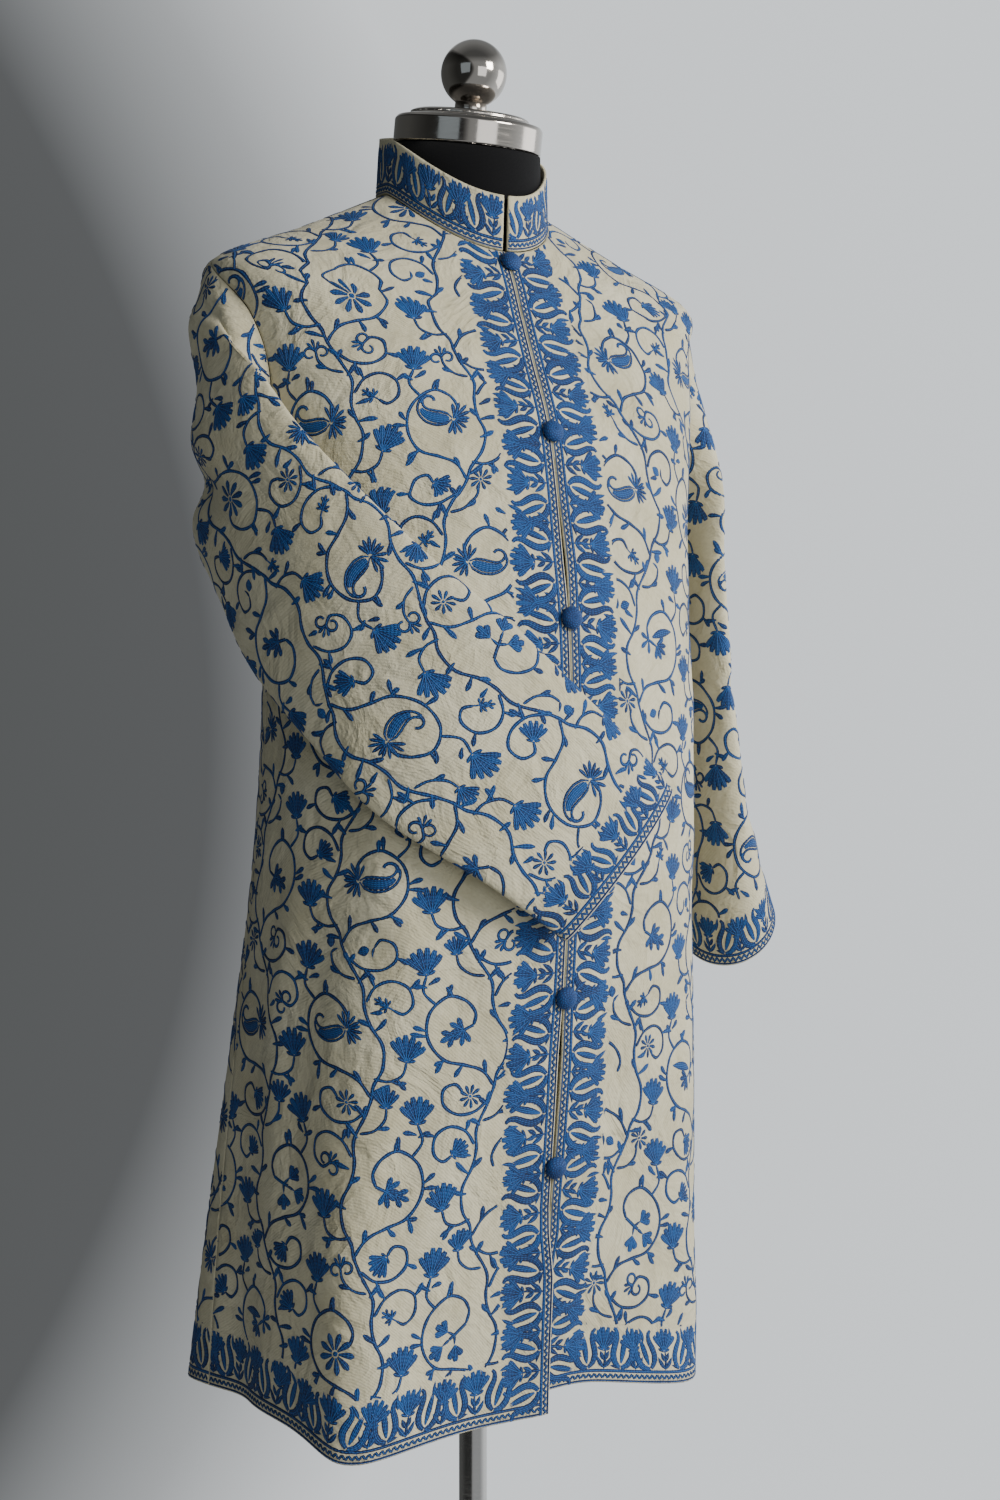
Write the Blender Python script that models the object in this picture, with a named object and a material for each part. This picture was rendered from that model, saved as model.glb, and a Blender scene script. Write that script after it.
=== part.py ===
"""A long woollen jacket with a stand collar, buttoned on a limbless dress form with a steel stand.

Metres, +Z up. The jacket's front faces -Y and the wearer's left is +X. The origin is the middle of
the round base's underside, on the pole's axis. Every piece of cloth is a thin wall through sections
that are worked out from the tables below.
"""
import math

import bmesh
import bpy
import numpy as np

# Cloth and seams
CLOTH = 0.0022
SEAM_GAP = 0.0004
SLEEVE_SEAM_GAP = 0.0011

# The jacket's outer surface, hem to neck: heights at the side, front and back, the half width, how far
# back the sides stand, and the front and back depth from the pole's axis. Squareness 2 is an ellipse,
# and fall says how a ring's height runs from side to front: 1 is a tilted plane, 2 a rounded ridge.
BODY_COLUMNS = (
    "side_z", "front_z", "back_z", "half_width", "side_y", "front", "back", "squareness", "fall",
)
BODY_ROWS = (
    (0.498, 0.497, 0.495, 0.195, 0.030, 0.108, 0.142, 2.40, 2.0),
    (0.620, 0.620, 0.620, 0.190, 0.026, 0.117, 0.136, 2.30, 2.0),
    (0.750, 0.750, 0.750, 0.182, 0.018, 0.133, 0.128, 2.25, 2.0),
    (0.880, 0.880, 0.880, 0.174, 0.006, 0.146, 0.120, 2.20, 2.0),
    (1.000, 1.000, 1.000, 0.169, -0.002, 0.150, 0.112, 2.20, 2.0),
    (1.090, 1.085, 1.090, 0.170, 0.000, 0.145, 0.110, 2.20, 2.0),
    (1.165, 1.155, 1.170, 0.176, 0.006, 0.132, 0.116, 2.20, 2.0),
    (1.240, 1.214, 1.250, 0.187, 0.014, 0.118, 0.121, 2.20, 2.0),
    (1.300, 1.264, 1.318, 0.198, 0.024, 0.095, 0.120, 2.15, 2.0),
    (1.341, 1.300, 1.362, 0.205, 0.030, 0.078, 0.112, 2.10, 2.0),
    (1.373, 1.329, 1.394, 0.136, 0.025, 0.065, 0.102, 2.05, 1.7),
    (1.405, 1.354, 1.420, 0.0665, 0.0190, 0.0515, 0.090, 2.00, 1.3),
)
UNDERARM_ROW = 6.0
SHOULDER_TIP_ROW = 9.0
NECK_ROW = 11.0
SKIRT_STEPS = 15
ARMHOLE_STEPS = 9
YOKE_STEPS = 4
FRONT_STEPS = 15
BACK_STEPS = 22
HEIGHT_LOOKUP_STEPS = 265

# How far the armhole is cut into the front and the back, in degrees round the body
ARMHOLE_FRONT_DEG = 20.0
ARMHOLE_BACK_DEG = 24.0

# How far the side seams swing back below the underarm, in degrees, and over how many rows
SEAM_SWING_DEG = 11.0
SEAM_SWING_ROWS = 3.5

# Long folds of the skirt, one row each. Angles run from the centre front towards the wearer's left.
FOLD_COLUMNS = ("hem_angle", "top_angle", "top_z", "depth", "width_deg", "hem_drop")
FOLD_ROWS = (
    (-37.0, -46.0, 0.940, 0.038, 12.0, 0.018),
    (38.0, 50.0, 0.880, 0.016, 10.0, 0.006),
    (-17.0, -22.0, 0.760, -0.004, 12.0, 0.000),
    (12.0, 16.0, 0.700, -0.006, 12.0, -0.004),
    (70.0, 80.0, 0.860, -0.014, 11.0, 0.012),
    (98.0, 100.0, 0.880, 0.010, 12.0, 0.004),
    (-84.0, -88.0, 0.900, -0.010, 12.0, 0.000),
    (128.0, 126.0, 0.900, -0.011, 11.0, 0.000),
    (152.0, 148.0, 0.960, 0.014, 11.0, 0.005),
    (176.0, 176.0, 0.900, -0.010, 11.0, 0.000),
    (-158.0, -152.0, 0.940, 0.013, 11.0, 0.005),
    (-134.0, -130.0, 0.880, -0.010, 10.0, 0.000),
    (-116.0, -114.0, 0.900, 0.022, 12.0, 0.000),
)
FOLD_CREASE_DEG = 3.0
FOLD_TENT_POWER = 1.3
FOLD_FADE_POWER = 1.25
HEM_DROP_FADE = 3.0

# The two front edges, hem to neck: how far each stands from the centre plane, and how far the
# wearer's right front lifts where it laps over the left one
EDGE_COLUMNS = ("z", "right_x", "left_x", "right_lift")
EDGE_ROWS = (
    (0.480, 0.0060, -0.0050, 0.0034),
    (0.596, 0.0040, -0.0036, 0.0034),
    (0.626, -0.0006, 0.0006, 0.0031),
    (0.646, -0.0005, 0.0005, 0.0000),
    (0.755, -0.0016, 0.0016, 0.0000),
    (0.800, -0.0004, 0.0004, 0.0000),
    (1.072, -0.0004, 0.0004, 0.0000),
    (1.115, -0.0013, 0.0013, 0.0000),
    (1.160, -0.0004, 0.0004, 0.0000),
    (1.360, -0.0004, 0.0004, 0.0000),
)
LAP_WIDTH = 0.030
LAP_START_ROW = 1.05
RIGHT_HEM_DROP = 0.008
LEFT_HEM_RISE = 0.008
HEM_SHIFT_WIDTH = 0.09

# Stand collar, base to top, with the same columns as the body
COLLAR_ROWS = (
    (1.4058, 1.3548, 1.4208, 0.0665, 0.0190, 0.0515, 0.0900, 2.0, 1.3),
    (1.4270, 1.3750, 1.4450, 0.0652, 0.0186, 0.0524, 0.0890, 2.0, 1.3),
    (1.4480, 1.3960, 1.4730, 0.0642, 0.0182, 0.0530, 0.0880, 2.0, 1.3),
)
COLLAR_STEPS = 32
COLLAR_HEIGHT_STEPS = 3
COLLAR_OPENING = 0.0024

# The right sleeve lies across the front. Each row is a section from the upper fold edge to the lower
# one: body angle, height and distance off the jacket's surface at each edge, then the depth of the
# hollow sleeve and how much higher its outer layer is than its inner one.
FOLDED_COLUMNS = (
    "upper_angle", "upper_z", "upper_lift", "lower_angle", "lower_z", "lower_lift", "depth", "skew",
)
FOLDED_ROWS = (
    (-71.0, 1.241, 0.003, -112.0, 1.227, 0.004, 0.019, 0.076),
    (-65.0, 1.226, 0.004, -116.0, 1.185, 0.006, 0.021, 0.060),
    (-58.0, 1.198, 0.005, -112.0, 1.142, 0.030, 0.022, 0.042),
    (-47.0, 1.157, 0.005, -101.0, 1.092, 0.019, 0.022, 0.022),
    (-33.0, 1.108, 0.005, -85.0, 1.036, 0.010, 0.021, 0.008),
    (-16.0, 1.062, 0.005, -62.0, 0.980, 0.008, 0.020, 0.000),
    (0.0, 1.018, 0.005, -45.0, 0.930, 0.007, 0.018, 0.000),
    (13.0, 0.983, 0.009, -22.0, 0.885, 0.008, 0.017, 0.000),
    (25.0, 0.950, 0.011, -4.0, 0.845, 0.011, 0.016, 0.000),
)

# Creases across the right sleeve: each runs over a range of turns round the sleeve, from one place
# along it to another, and is pressed in by its depth
CREASE_COLUMNS = ("start_turn", "end_turn", "start_row", "end_row", "depth", "width_rows")
CREASE_ROWS = (
    (195.0, 95.0, 1.90, 3.60, 0.014, 0.38),
    (120.0, 20.0, 0.50, 1.30, 0.0055, 0.40),
)

# The left sleeve hangs. Each row is a section: its centre, its half size outwards and front to back,
# and how much lower its outer side and its front side are than the centre.
HANGING_COLUMNS = (
    "centre_x", "centre_y", "centre_z", "half_out", "half_along", "outer_drop", "front_drop",
)
HANGING_ROWS = (
    (0.2035, 0.030, 1.180, 0.0150, 0.0700, -0.030, -0.010),
    (0.2075, 0.030, 1.130, 0.0160, 0.0680, -0.008, 0.000),
    (0.2135, 0.030, 1.080, 0.0170, 0.0650, 0.000, 0.004),
    (0.2200, 0.028, 1.020, 0.0180, 0.0620, 0.000, 0.008),
    (0.2290, 0.026, 0.957, 0.0220, 0.0580, 0.000, 0.012),
    (0.2440, 0.024, 0.889, 0.0270, 0.0540, -0.010, 0.016),
    (0.2530, 0.020, 0.832, 0.0340, 0.0500, -0.026, 0.020),
)
SLEEVE_STEPS = 24
FIRST_STEP = 0.06
SEAM_BLEND = 1.5
UNDERARM_LIFT = 0.0008
EDGE_FULLNESS = 0.6
CREASE_FADE_DEG = 25.0

# Dress form under the jacket: how far it stands inside the jacket's outer surface, by body row, and
# how much nearer it comes at the sides, where the jacket rests on its shoulders
FORM_COLUMNS = ("row", "clearance", "nearer_at_side")
FORM_ROWS = (
    (2.0, 0.042, 0.0),
    (2.8, 0.024, 0.0),
    (3.6, 0.022, 0.0),
    (4.5, 0.026, 0.0),
    (5.5, 0.016, 0.0),
    (6.5, 0.010, 0.0),
    (7.5, 0.0085, 0.0),
    (8.5, 0.0070, 0.0),
    (9.2, 0.0060, 0.0010),
    (9.8, 0.0055, 0.0023),
    (10.4, 0.0050, 0.0021),
    (11.0, 0.0050, 0.0010),
)
FORM_SIDE_DEG = 25.0
FORM_BOTTOM_Z = 0.750
NECK_ROWS = (
    (1.4150, 1.3700, 1.4300, 0.0590, 0.0120, 0.0470, 0.0720, 2.0, 1.3),
    (1.4300, 1.3980, 1.4430, 0.0572, 0.0090, 0.0480, 0.0660, 2.0, 1.2),
    (1.4452, 1.4330, 1.4572, 0.0566, 0.0085, 0.0480, 0.0650, 2.0, 1.0),
)
FORM_AROUND = 36
FORM_TRUNK_STEPS = 18

# Steel cap on the neck, tilted forward with the neck's top, and the ball above it
CAP_TILT_DEG = 12.0
CAP_CENTRE_Y = 0.0105
CAP_CENTRE_Z = 1.4461
CAP_RADIUS = 0.058
CAP_HEIGHT = 0.0215
CAP_STEP_RADIUS = 0.0465
CAP_STEP_HEIGHT = 0.0055
CAP_EDGE = 0.0015
BALL_RADIUS = 0.0257
BALL_ABOVE_CAP = 0.0308
BALL_STEPS = 14
BALL_AROUND = 28
STEM_RADIUS = 0.0125

# Pole and base
POLE_RADIUS = 0.0109
BASE_RADIUS = 0.165
BASE_RIM_HEIGHT = 0.008
BASE_CROWN_HEIGHT = 0.016
HUB_RADIUS = 0.024
HUB_HEIGHT = 0.052
HUB_FOOT_RADIUS = 0.036
HUB_FOOT_HEIGHT = 0.006
BASE_STEPS = 48
POLE_STEPS = 28
TURNED_STEPS = 40

# Covered buttons down the left front's edge
BUTTON_HEIGHTS = (1.3440, 1.2086, 1.0720, 0.9364, 0.7998, 0.6752)
BUTTON_RADIUS = 0.0080
BUTTON_DOME = 0.0058
BUTTON_RIM = 0.0012
BUTTON_FOOT = 0.82
BUTTON_OFF_EDGE = 0.0006
BUTTON_LIFT = 0.0006
BUTTON_AROUND = 18

FRAME_CLEARANCE = 0.0003


def smooth(rows, position):
    """Cubic curve through evenly numbered rows, read at any position between the first and last."""
    table = np.asarray(rows, float)
    place = np.clip(np.asarray(position, float), 0.0, len(table) - 1.0)
    low = np.minimum(place.astype(int), len(table) - 2)
    part = (place - low)[..., None]
    before = table[np.maximum(low - 1, 0)]
    start = table[low]
    end = table[low + 1]
    after = table[np.minimum(low + 2, len(table) - 1)]
    leave = 0.5 * (end - before)
    arrive = 0.5 * (after - start)
    square = part * part
    cube = square * part
    return (
        (2 * cube - 3 * square + 1) * start + (cube - 2 * square + part) * leave
        + (3 * square - 2 * cube) * end + (cube - square) * arrive
    )


def named(columns, rows):
    """Each row of a table as a dictionary by column name."""
    return [dict(zip(columns, row)) for row in rows]


def column_against(rows, key, value, columns, name):
    """One column of a table read by straight lines against its key column."""
    table = np.asarray(rows, float)
    return np.interp(value, table[:, columns.index(key)], table[:, columns.index(name)])


def section_point(values, angle_deg):
    """Point of a section at an angle from the centre front: a superellipse with a tilted plane."""
    side_z, front_z, back_z, half_width, side_y, front, back, squareness, fall = np.moveaxis(values, -1, 0)
    angle = np.radians(angle_deg)
    s, c = np.sin(angle), np.cos(angle)
    scale = (np.abs(s) ** squareness + np.abs(c) ** squareness) ** (-1.0 / squareness)
    depth = np.where(c > 0, front + side_y, back - side_y)
    end_z = np.where(c > 0, front_z, back_z)
    z = side_z + (end_z - side_z) * np.abs(c) ** fall
    return np.stack(np.broadcast_arrays(half_width * s * scale, side_y - depth * c * scale, z), -1)


def fold_shape(angle_deg, z):
    """How far the long folds push the skirt out, and how far they lower its hem."""
    out = np.zeros(np.broadcast(angle_deg, z).shape)
    drop = np.zeros_like(out)
    hem_z = BODY_ROWS[0][0]
    for fold in named(FOLD_COLUMNS, FOLD_ROWS):
        rise = np.clip((z - hem_z) / (fold["top_z"] - hem_z), 0.0, 1.0)
        centre = fold["hem_angle"] + (fold["top_angle"] - fold["hem_angle"]) * rise
        away = (angle_deg - centre + 180.0) % 360.0 - 180.0
        crease = FOLD_CREASE_DEG * (1.0 + 2.0 * rise)
        tent = (np.sqrt(away * away + crease * crease) - crease) / fold["width_deg"]
        shape = np.exp(-tent ** FOLD_TENT_POWER)
        out += fold["depth"] * shape * (1.0 - rise) ** FOLD_FADE_POWER
        drop += fold["hem_drop"] * shape * np.clip(1.0 - rise * HEM_DROP_FADE, 0.0, 1.0) ** 2
    return out, drop


def body_point(angle_deg, row, folded=True):
    """Point of the jacket's outer surface at an angle round the body and a row up it."""
    angle_deg, row = np.broadcast_arrays(np.asarray(angle_deg, float), np.asarray(row, float))
    point = section_point(smooth(BODY_ROWS, row), angle_deg)
    if folded:
        out, drop = fold_shape(angle_deg, point[..., 2])
        flat = point[..., :2]
        point[..., :2] = flat * (1.0 + out / np.linalg.norm(flat, axis=-1))[..., None]
        point[..., 2] -= drop
    return point


def unit(vectors):
    """Vectors scaled to length one."""
    return vectors / np.linalg.norm(vectors, axis=-1, keepdims=True)


def body_normal(angle_deg, row, folded=True):
    """Outward direction of the jacket's surface, from two short steps along it."""
    step_deg, step_row = 0.5, 0.02
    across = body_point(angle_deg + step_deg, row, folded) - body_point(angle_deg - step_deg, row, folded)
    low = body_point(angle_deg, np.maximum(row - step_row, 0.0), folded)
    high = body_point(angle_deg, np.minimum(row + step_row, NECK_ROW), folded)
    return unit(np.cross(across, high - low))


def row_at_height(angle_deg, z):
    """Body row whose point at this angle has the height z."""
    rows = np.linspace(0.0, NECK_ROW, HEIGHT_LOOKUP_STEPS)
    angle_deg, z = np.broadcast_arrays(np.asarray(angle_deg, float), np.asarray(z, float))
    found = np.empty(angle_deg.shape)
    for place in np.ndindex(angle_deg.shape):
        heights = section_point(smooth(BODY_ROWS, rows), angle_deg[place])[:, 2]
        found[place] = np.interp(z[place], heights, rows)
    return found


def off_body(angle_deg, z, lift):
    """Point at an angle and a height, standing off the jacket's surface by lift."""
    row = row_at_height(angle_deg, z)
    return body_point(angle_deg, row) + body_normal(angle_deg, row) * np.asarray(lift)[..., None]


def armhole_cut(row, depth_deg):
    """Degrees that the armhole takes from a panel: none at the underarm and the shoulder tip."""
    part = np.clip((row - UNDERARM_ROW) / (SHOULDER_TIP_ROW - UNDERARM_ROW), 0.0, 1.0)
    return depth_deg * np.sin(math.pi * part) ** 0.75


def side_seam_angle(row):
    """Angle of the side and shoulder seams: 90 degrees, and further back down the skirt."""
    part = np.clip((UNDERARM_ROW - row) / SEAM_SWING_ROWS, 0.0, 1.0)
    return 90.0 + SEAM_SWING_DEG * part * part * (3.0 - 2.0 * part)


def panel_normals(points):
    """Outward normals of a panel's grid, whose rows run up and columns towards the wearer's left."""
    return unit(np.cross(np.gradient(points, axis=1), np.gradient(points, axis=0)))


def tube_normals(points):
    """Outward normals of a sleeve's grid, whose rows run along it and whose columns close round it.

    Each is evened out with its neighbours along and round the sleeve, so that the wall's inner side
    stays in order at a fold's edge.
    """
    across = (np.roll(points, -1, 1) - np.roll(points, 1, 1)) * 0.5
    normal = unit(np.cross(across, np.gradient(points, axis=0)))
    outside = np.sum(normal * (points - points.mean(axis=1, keepdims=True)))
    normal = normal * np.sign(outside)
    normal[1:-1] = 0.5 * normal[1:-1] + 0.25 * (normal[:-2] + normal[2:])
    return unit(0.5 * normal + 0.25 * (np.roll(normal, -1, 1) + np.roll(normal, 1, 1)))


def make_object(name, verts, faces, finish, smooth_deg=50.0):
    """Mesh object with its faces pointing out, its own material and smooth shading."""
    mesh = bpy.data.meshes.new(name)
    mesh.from_pydata([tuple(map(float, v)) for v in verts], [], faces)
    work = bmesh.new()
    work.from_mesh(mesh)
    bmesh.ops.recalc_face_normals(work, faces=work.faces)
    if work.calc_volume(signed=True) < 0:
        bmesh.ops.reverse_faces(work, faces=work.faces)
    work.to_mesh(mesh)
    work.free()
    mesh.shade_smooth()
    mesh.set_sharp_from_angle(angle=math.radians(smooth_deg))
    mesh.materials.append(finish_material(name, *finish))
    obj = bpy.data.objects.new(name, mesh)
    bpy.context.scene.collection.objects.link(obj)
    return obj


def finish_material(name, colour, roughness, metallic):
    """Principled material with one colour, roughness and metallic value."""
    material = bpy.data.materials.new(name + "_finish")
    material.use_nodes = True
    shader = material.node_tree.nodes["Principled BSDF"]
    shader.inputs["Base Color"].default_value = (*colour, 1.0)
    shader.inputs["Roughness"].default_value = roughness
    shader.inputs["Metallic"].default_value = metallic
    return material


CREAM_WOOL = ((0.68, 0.63, 0.50), 0.9, 0.0)
BLUE_THREAD = ((0.05, 0.14, 0.42), 0.6, 0.0)
BLACK_JERSEY = ((0.012, 0.012, 0.014), 0.85, 0.0)
POLISHED_STEEL = ((0.60, 0.58, 0.56), 0.12, 1.0)


def cloth_wall(name, outer, normals, around=False):
    """Closed wall of cloth: a grid of outer points and the same grid one cloth thickness inside it."""
    rows, columns = outer.shape[:2]
    inner = outer - normals * CLOTH
    verts = np.concatenate([outer.reshape(-1, 3), inner.reshape(-1, 3)])
    layer = rows * columns
    faces = []
    spans = columns if around else columns - 1
    for i in range(rows - 1):
        for j in range(spans):
            k = (j + 1) % columns
            a, b = i * columns + j, i * columns + k
            c, d = (i + 1) * columns + k, (i + 1) * columns + j
            faces.append((a, b, c, d))
            faces.append((layer + d, layer + c, layer + b, layer + a))
    for i in (0, rows - 1):
        for j in range(spans):
            a, b = i * columns + j, i * columns + (j + 1) % columns
            rim = (a, layer + a, layer + b, b)
            faces.append(rim if i == 0 else rim[::-1])
    if not around:
        for j in (0, columns - 1):
            for i in range(rows - 1):
                a, b = i * columns + j, (i + 1) * columns + j
                rim = (a, b, layer + b, layer + a)
                faces.append(rim if j == 0 else rim[::-1])
    return make_object(name, verts, faces, CREAM_WOOL)


def panel_rows():
    """Body rows of every panel, hem to neck, with one where the fronts begin to lap."""
    skirt = np.linspace(0.0, UNDERARM_ROW, SKIRT_STEPS, endpoint=False)
    skirt = np.sort(np.append(skirt, LAP_START_ROW))
    armhole = np.linspace(UNDERARM_ROW, SHOULDER_TIP_ROW, ARMHOLE_STEPS, endpoint=False)
    yoke = np.linspace(SHOULDER_TIP_ROW, NECK_ROW, YOKE_STEPS + 1)
    return np.concatenate([skirt, armhole, yoke])


def seam_shift(row):
    """Half the seam gap, as degrees round the body at this row."""
    half_width = smooth(BODY_ROWS, row)[..., BODY_COLUMNS.index("half_width")]
    return np.degrees(0.5 * SEAM_GAP / half_width)


def front_panel(name, side):
    """One front: from its front edge to the side seam, armhole and shoulder seam. side is -1 or 1."""
    rows = panel_rows()
    heights = section_point(smooth(BODY_ROWS, rows), 0.0)[:, 2]
    edge_name = "right_x" if side < 0 else "left_x"
    edge_x = column_against(EDGE_ROWS, "z", heights, EDGE_COLUMNS, edge_name)
    half_width = smooth(BODY_ROWS, rows)[:, BODY_COLUMNS.index("half_width")]
    start = np.degrees(edge_x / half_width)
    end = side * (side_seam_angle(rows) - armhole_cut(rows, ARMHOLE_FRONT_DEG) - seam_shift(rows))
    part = np.linspace(0.0, 1.0, FRONT_STEPS + 1)
    angle = start[:, None] + (end - start)[:, None] * part
    points = body_point(angle, rows[:, None])
    hem_shift = RIGHT_HEM_DROP if side < 0 else -LEFT_HEM_RISE
    near_hem = np.clip(1.0 - rows, 0.0, 1.0)[:, None] ** 2
    near_edge = np.exp(-(points[..., 0] / HEM_SHIFT_WIDTH) ** 2)
    points[..., 2] -= hem_shift * near_hem * near_edge
    if side < 0:
        lift = column_against(EDGE_ROWS, "z", heights, EDGE_COLUMNS, "right_lift")[:, None]
        away = np.clip((edge_x[:, None] - points[..., 0]) / LAP_WIDTH, 0.0, 1.0)
        points[..., 1] -= lift * (1.0 - away * away * (3.0 - 2.0 * away))
    return cloth_wall(name, points, body_normal(angle, rows[:, None]))


def back_panel():
    """The back, from side seam to side seam round the body."""
    rows = panel_rows()
    start = side_seam_angle(rows) + armhole_cut(rows, ARMHOLE_BACK_DEG) + seam_shift(rows)
    end = 360.0 - start
    part = np.linspace(0.0, 1.0, BACK_STEPS + 1)
    angle = start[:, None] + (end - start)[:, None] * part
    points = body_point(angle, rows[:, None])
    return cloth_wall("jacket_back", points, body_normal(angle, rows[:, None]))


def collar():
    """Stand collar: a band round the neck, open at the centre front."""
    half_width = COLLAR_ROWS[0][BODY_COLUMNS.index("half_width")]
    gap_deg = math.degrees(0.5 * COLLAR_OPENING / half_width)
    angle = np.linspace(gap_deg, 360.0 - gap_deg, COLLAR_STEPS + 1)
    height = np.linspace(0.0, len(COLLAR_ROWS) - 1.0, COLLAR_HEIGHT_STEPS + 1)
    points = section_point(smooth(COLLAR_ROWS, height[:, None]), angle[None, :])
    return cloth_wall("jacket_collar", points, panel_normals(points))


def armhole_loop(side):
    """Points and body normals of the armhole's edge, from the underarm up the front and down the back."""
    rows = np.linspace(UNDERARM_ROW, SHOULDER_TIP_ROW, ARMHOLE_STEPS + 1)
    front = side * (90.0 - armhole_cut(rows, ARMHOLE_FRONT_DEG))
    back = side * (90.0 + armhole_cut(rows, ARMHOLE_BACK_DEG))
    angles = np.concatenate([front, back[-2:0:-1]])
    levels = np.concatenate([rows, rows[-2:0:-1]])
    return body_point(angles, levels), body_normal(angles, levels)


def loop_turns():
    """Turn of each loop point round the sleeve: the front edge 0, the outer side 90 degrees."""
    count = 2 * ARMHOLE_STEPS
    return np.radians(-90.0 + 360.0 * np.arange(count) / count)


def folded_section(row, turn):
    """Section of the right sleeve, in angles and heights over the jacket's front."""
    part = 0.5 * (1.0 - np.cos(turn))
    outer = np.sin(turn)
    full = np.sign(outer) * np.abs(outer) ** EDGE_FULLNESS
    angle = row["upper_angle"] + (row["lower_angle"] - row["upper_angle"]) * part
    z = row["upper_z"] + (row["lower_z"] - row["upper_z"]) * part + row["skew"] * outer
    lift = row["upper_lift"] + (row["lower_lift"] - row["upper_lift"]) * part
    return off_body(angle, z, lift + row["depth"] * 0.5 * (1.0 + full))


def hanging_section(row, turn):
    """Section of the left sleeve: an ellipse with a tilted plane."""
    out, along = np.sin(turn), np.cos(turn)
    return np.stack([
        row["centre_x"] + row["half_out"] * out,
        row["centre_y"] - row["half_along"] * along,
        row["centre_z"] - row["outer_drop"] * out - row["front_drop"] * along,
    ], -1)


def sleeve_creases(place, turn):
    """How far the creases press the right sleeve in, at places along it and turns round it."""
    turn_deg = np.degrees(turn)[None, :] % 360.0
    place = place[:, None]
    depth = np.zeros(np.broadcast(place, turn_deg).shape)
    for crease in named(CREASE_COLUMNS, CREASE_ROWS):
        low, high = sorted((crease["start_turn"], crease["end_turn"]))
        turns = crease["end_turn"] - crease["start_turn"]
        part = np.clip((turn_deg - crease["start_turn"]) / turns, 0.0, 1.0)
        line = crease["start_row"] + (crease["end_row"] - crease["start_row"]) * part
        inside = np.clip((turn_deg - low) / CREASE_FADE_DEG, 0.0, 1.0)
        inside = inside * np.clip((high - turn_deg) / CREASE_FADE_DEG, 0.0, 1.0)
        depth += crease["depth"] * inside * np.exp(-((place - line) / crease["width_rows"]) ** 2)
    return depth


def sleeve(name, side, rows, section):
    """A sleeve: from the armhole's edge through the table's sections to the open cuff."""
    turn = loop_turns()
    stations = np.array([section(row, turn) for row in rows])
    loop, loop_normals = armhole_loop(side)
    first = smooth(np.concatenate([loop[None], stations]).reshape(len(rows) + 1, -1), FIRST_STEP)
    away = unit(first.reshape(loop.shape) - loop)
    folded_back = 0.5 - 0.5 * np.sin(turn)[:, None]
    start = loop + away * SLEEVE_SEAM_GAP + loop_normals * UNDERARM_LIFT * folded_back ** 2
    frame = np.concatenate([start[None], stations])
    flat = frame.reshape(len(frame), -1)
    place = np.linspace(0.0, len(frame) - 1.0, SLEEVE_STEPS + 1)
    points = smooth(flat, place).reshape(SLEEVE_STEPS + 1, len(turn), 3)
    if side < 0:
        points = points - tube_normals(points) * sleeve_creases(place, turn)[..., None]
    normals = tube_normals(points)
    along_body = np.clip(SEAM_BLEND * np.sum(normals[0] * loop_normals, -1, keepdims=True), 0.0, 1.0)
    normals[0] = unit(normals[0] * (1.0 - along_body) + loop_normals * along_body)
    return cloth_wall(name, points, normals, True)


def form_torso():
    """The dress form: the body's smooth shape inside the jacket, with its neck, closed at both ends."""
    angle = np.arange(FORM_AROUND)[None, :] * 360.0 / FORM_AROUND
    trunk_rows = np.linspace(FORM_ROWS[0][0], SHOULDER_TIP_ROW, FORM_TRUNK_STEPS, endpoint=False)
    rows = np.concatenate([trunk_rows, np.linspace(SHOULDER_TIP_ROW, NECK_ROW, YOKE_STEPS + 1)])[:, None]
    clearance = column_against(FORM_ROWS, "row", rows, FORM_COLUMNS, "clearance")
    nearer = column_against(FORM_ROWS, "row", rows, FORM_COLUMNS, "nearer_at_side")
    from_side = (np.abs(180.0 - angle) - 90.0) / FORM_SIDE_DEG
    clearance = clearance - nearer * np.exp(-from_side ** 2)
    trunk = body_point(angle, rows, False) - body_normal(angle, rows, False) * clearance[..., None]
    trunk[0, :, 2] = FORM_BOTTOM_Z
    neck = section_point(np.asarray(NECK_ROWS)[:, None, :], angle)
    rings = np.concatenate([trunk, neck])
    bottom = trunk[0].mean(axis=0)
    verts = np.concatenate([rings.reshape(-1, 3), bottom[None], neck[-1].mean(axis=0)[None]])
    count = len(rings)
    faces = []
    for i in range(count - 1):
        for j in range(FORM_AROUND):
            k = (j + 1) % FORM_AROUND
            a, b = i * FORM_AROUND, (i + 1) * FORM_AROUND
            faces.append((a + j, a + k, b + k, b + j))
    low, high = count * FORM_AROUND, count * FORM_AROUND + 1
    for j in range(FORM_AROUND):
        k = (j + 1) % FORM_AROUND
        faces.append((low, k, j))
        top = (count - 1) * FORM_AROUND
        faces.append((high, top + j, top + k))
    return make_object("form_torso", verts, faces, BLACK_JERSEY)


def turned(name, profile, finish, steps=TURNED_STEPS, smooth_deg=35.0):
    """Solid of revolution about Z from (radius, height) points, first and last on the axis."""
    inner = profile[1:-1]
    turn = np.arange(steps) * 2.0 * math.pi / steps
    rings = [np.stack([r * np.cos(turn), r * np.sin(turn), np.full(steps, z)], -1) for r, z in inner]
    low, high = (0.0, 0.0, profile[0][1]), (0.0, 0.0, profile[-1][1])
    verts = np.concatenate(rings + [np.array([low, high])])
    faces = []
    for i in range(len(inner) - 1):
        for j in range(steps):
            k = (j + 1) % steps
            faces.append((i * steps + j, i * steps + k, (i + 1) * steps + k, (i + 1) * steps + j))
    end = len(inner) * steps
    for j in range(steps):
        k = (j + 1) % steps
        faces.append((end, k, j))
        faces.append((end + 1, end - steps + j, end - steps + k))
    return make_object(name, verts, faces, finish, smooth_deg)


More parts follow.
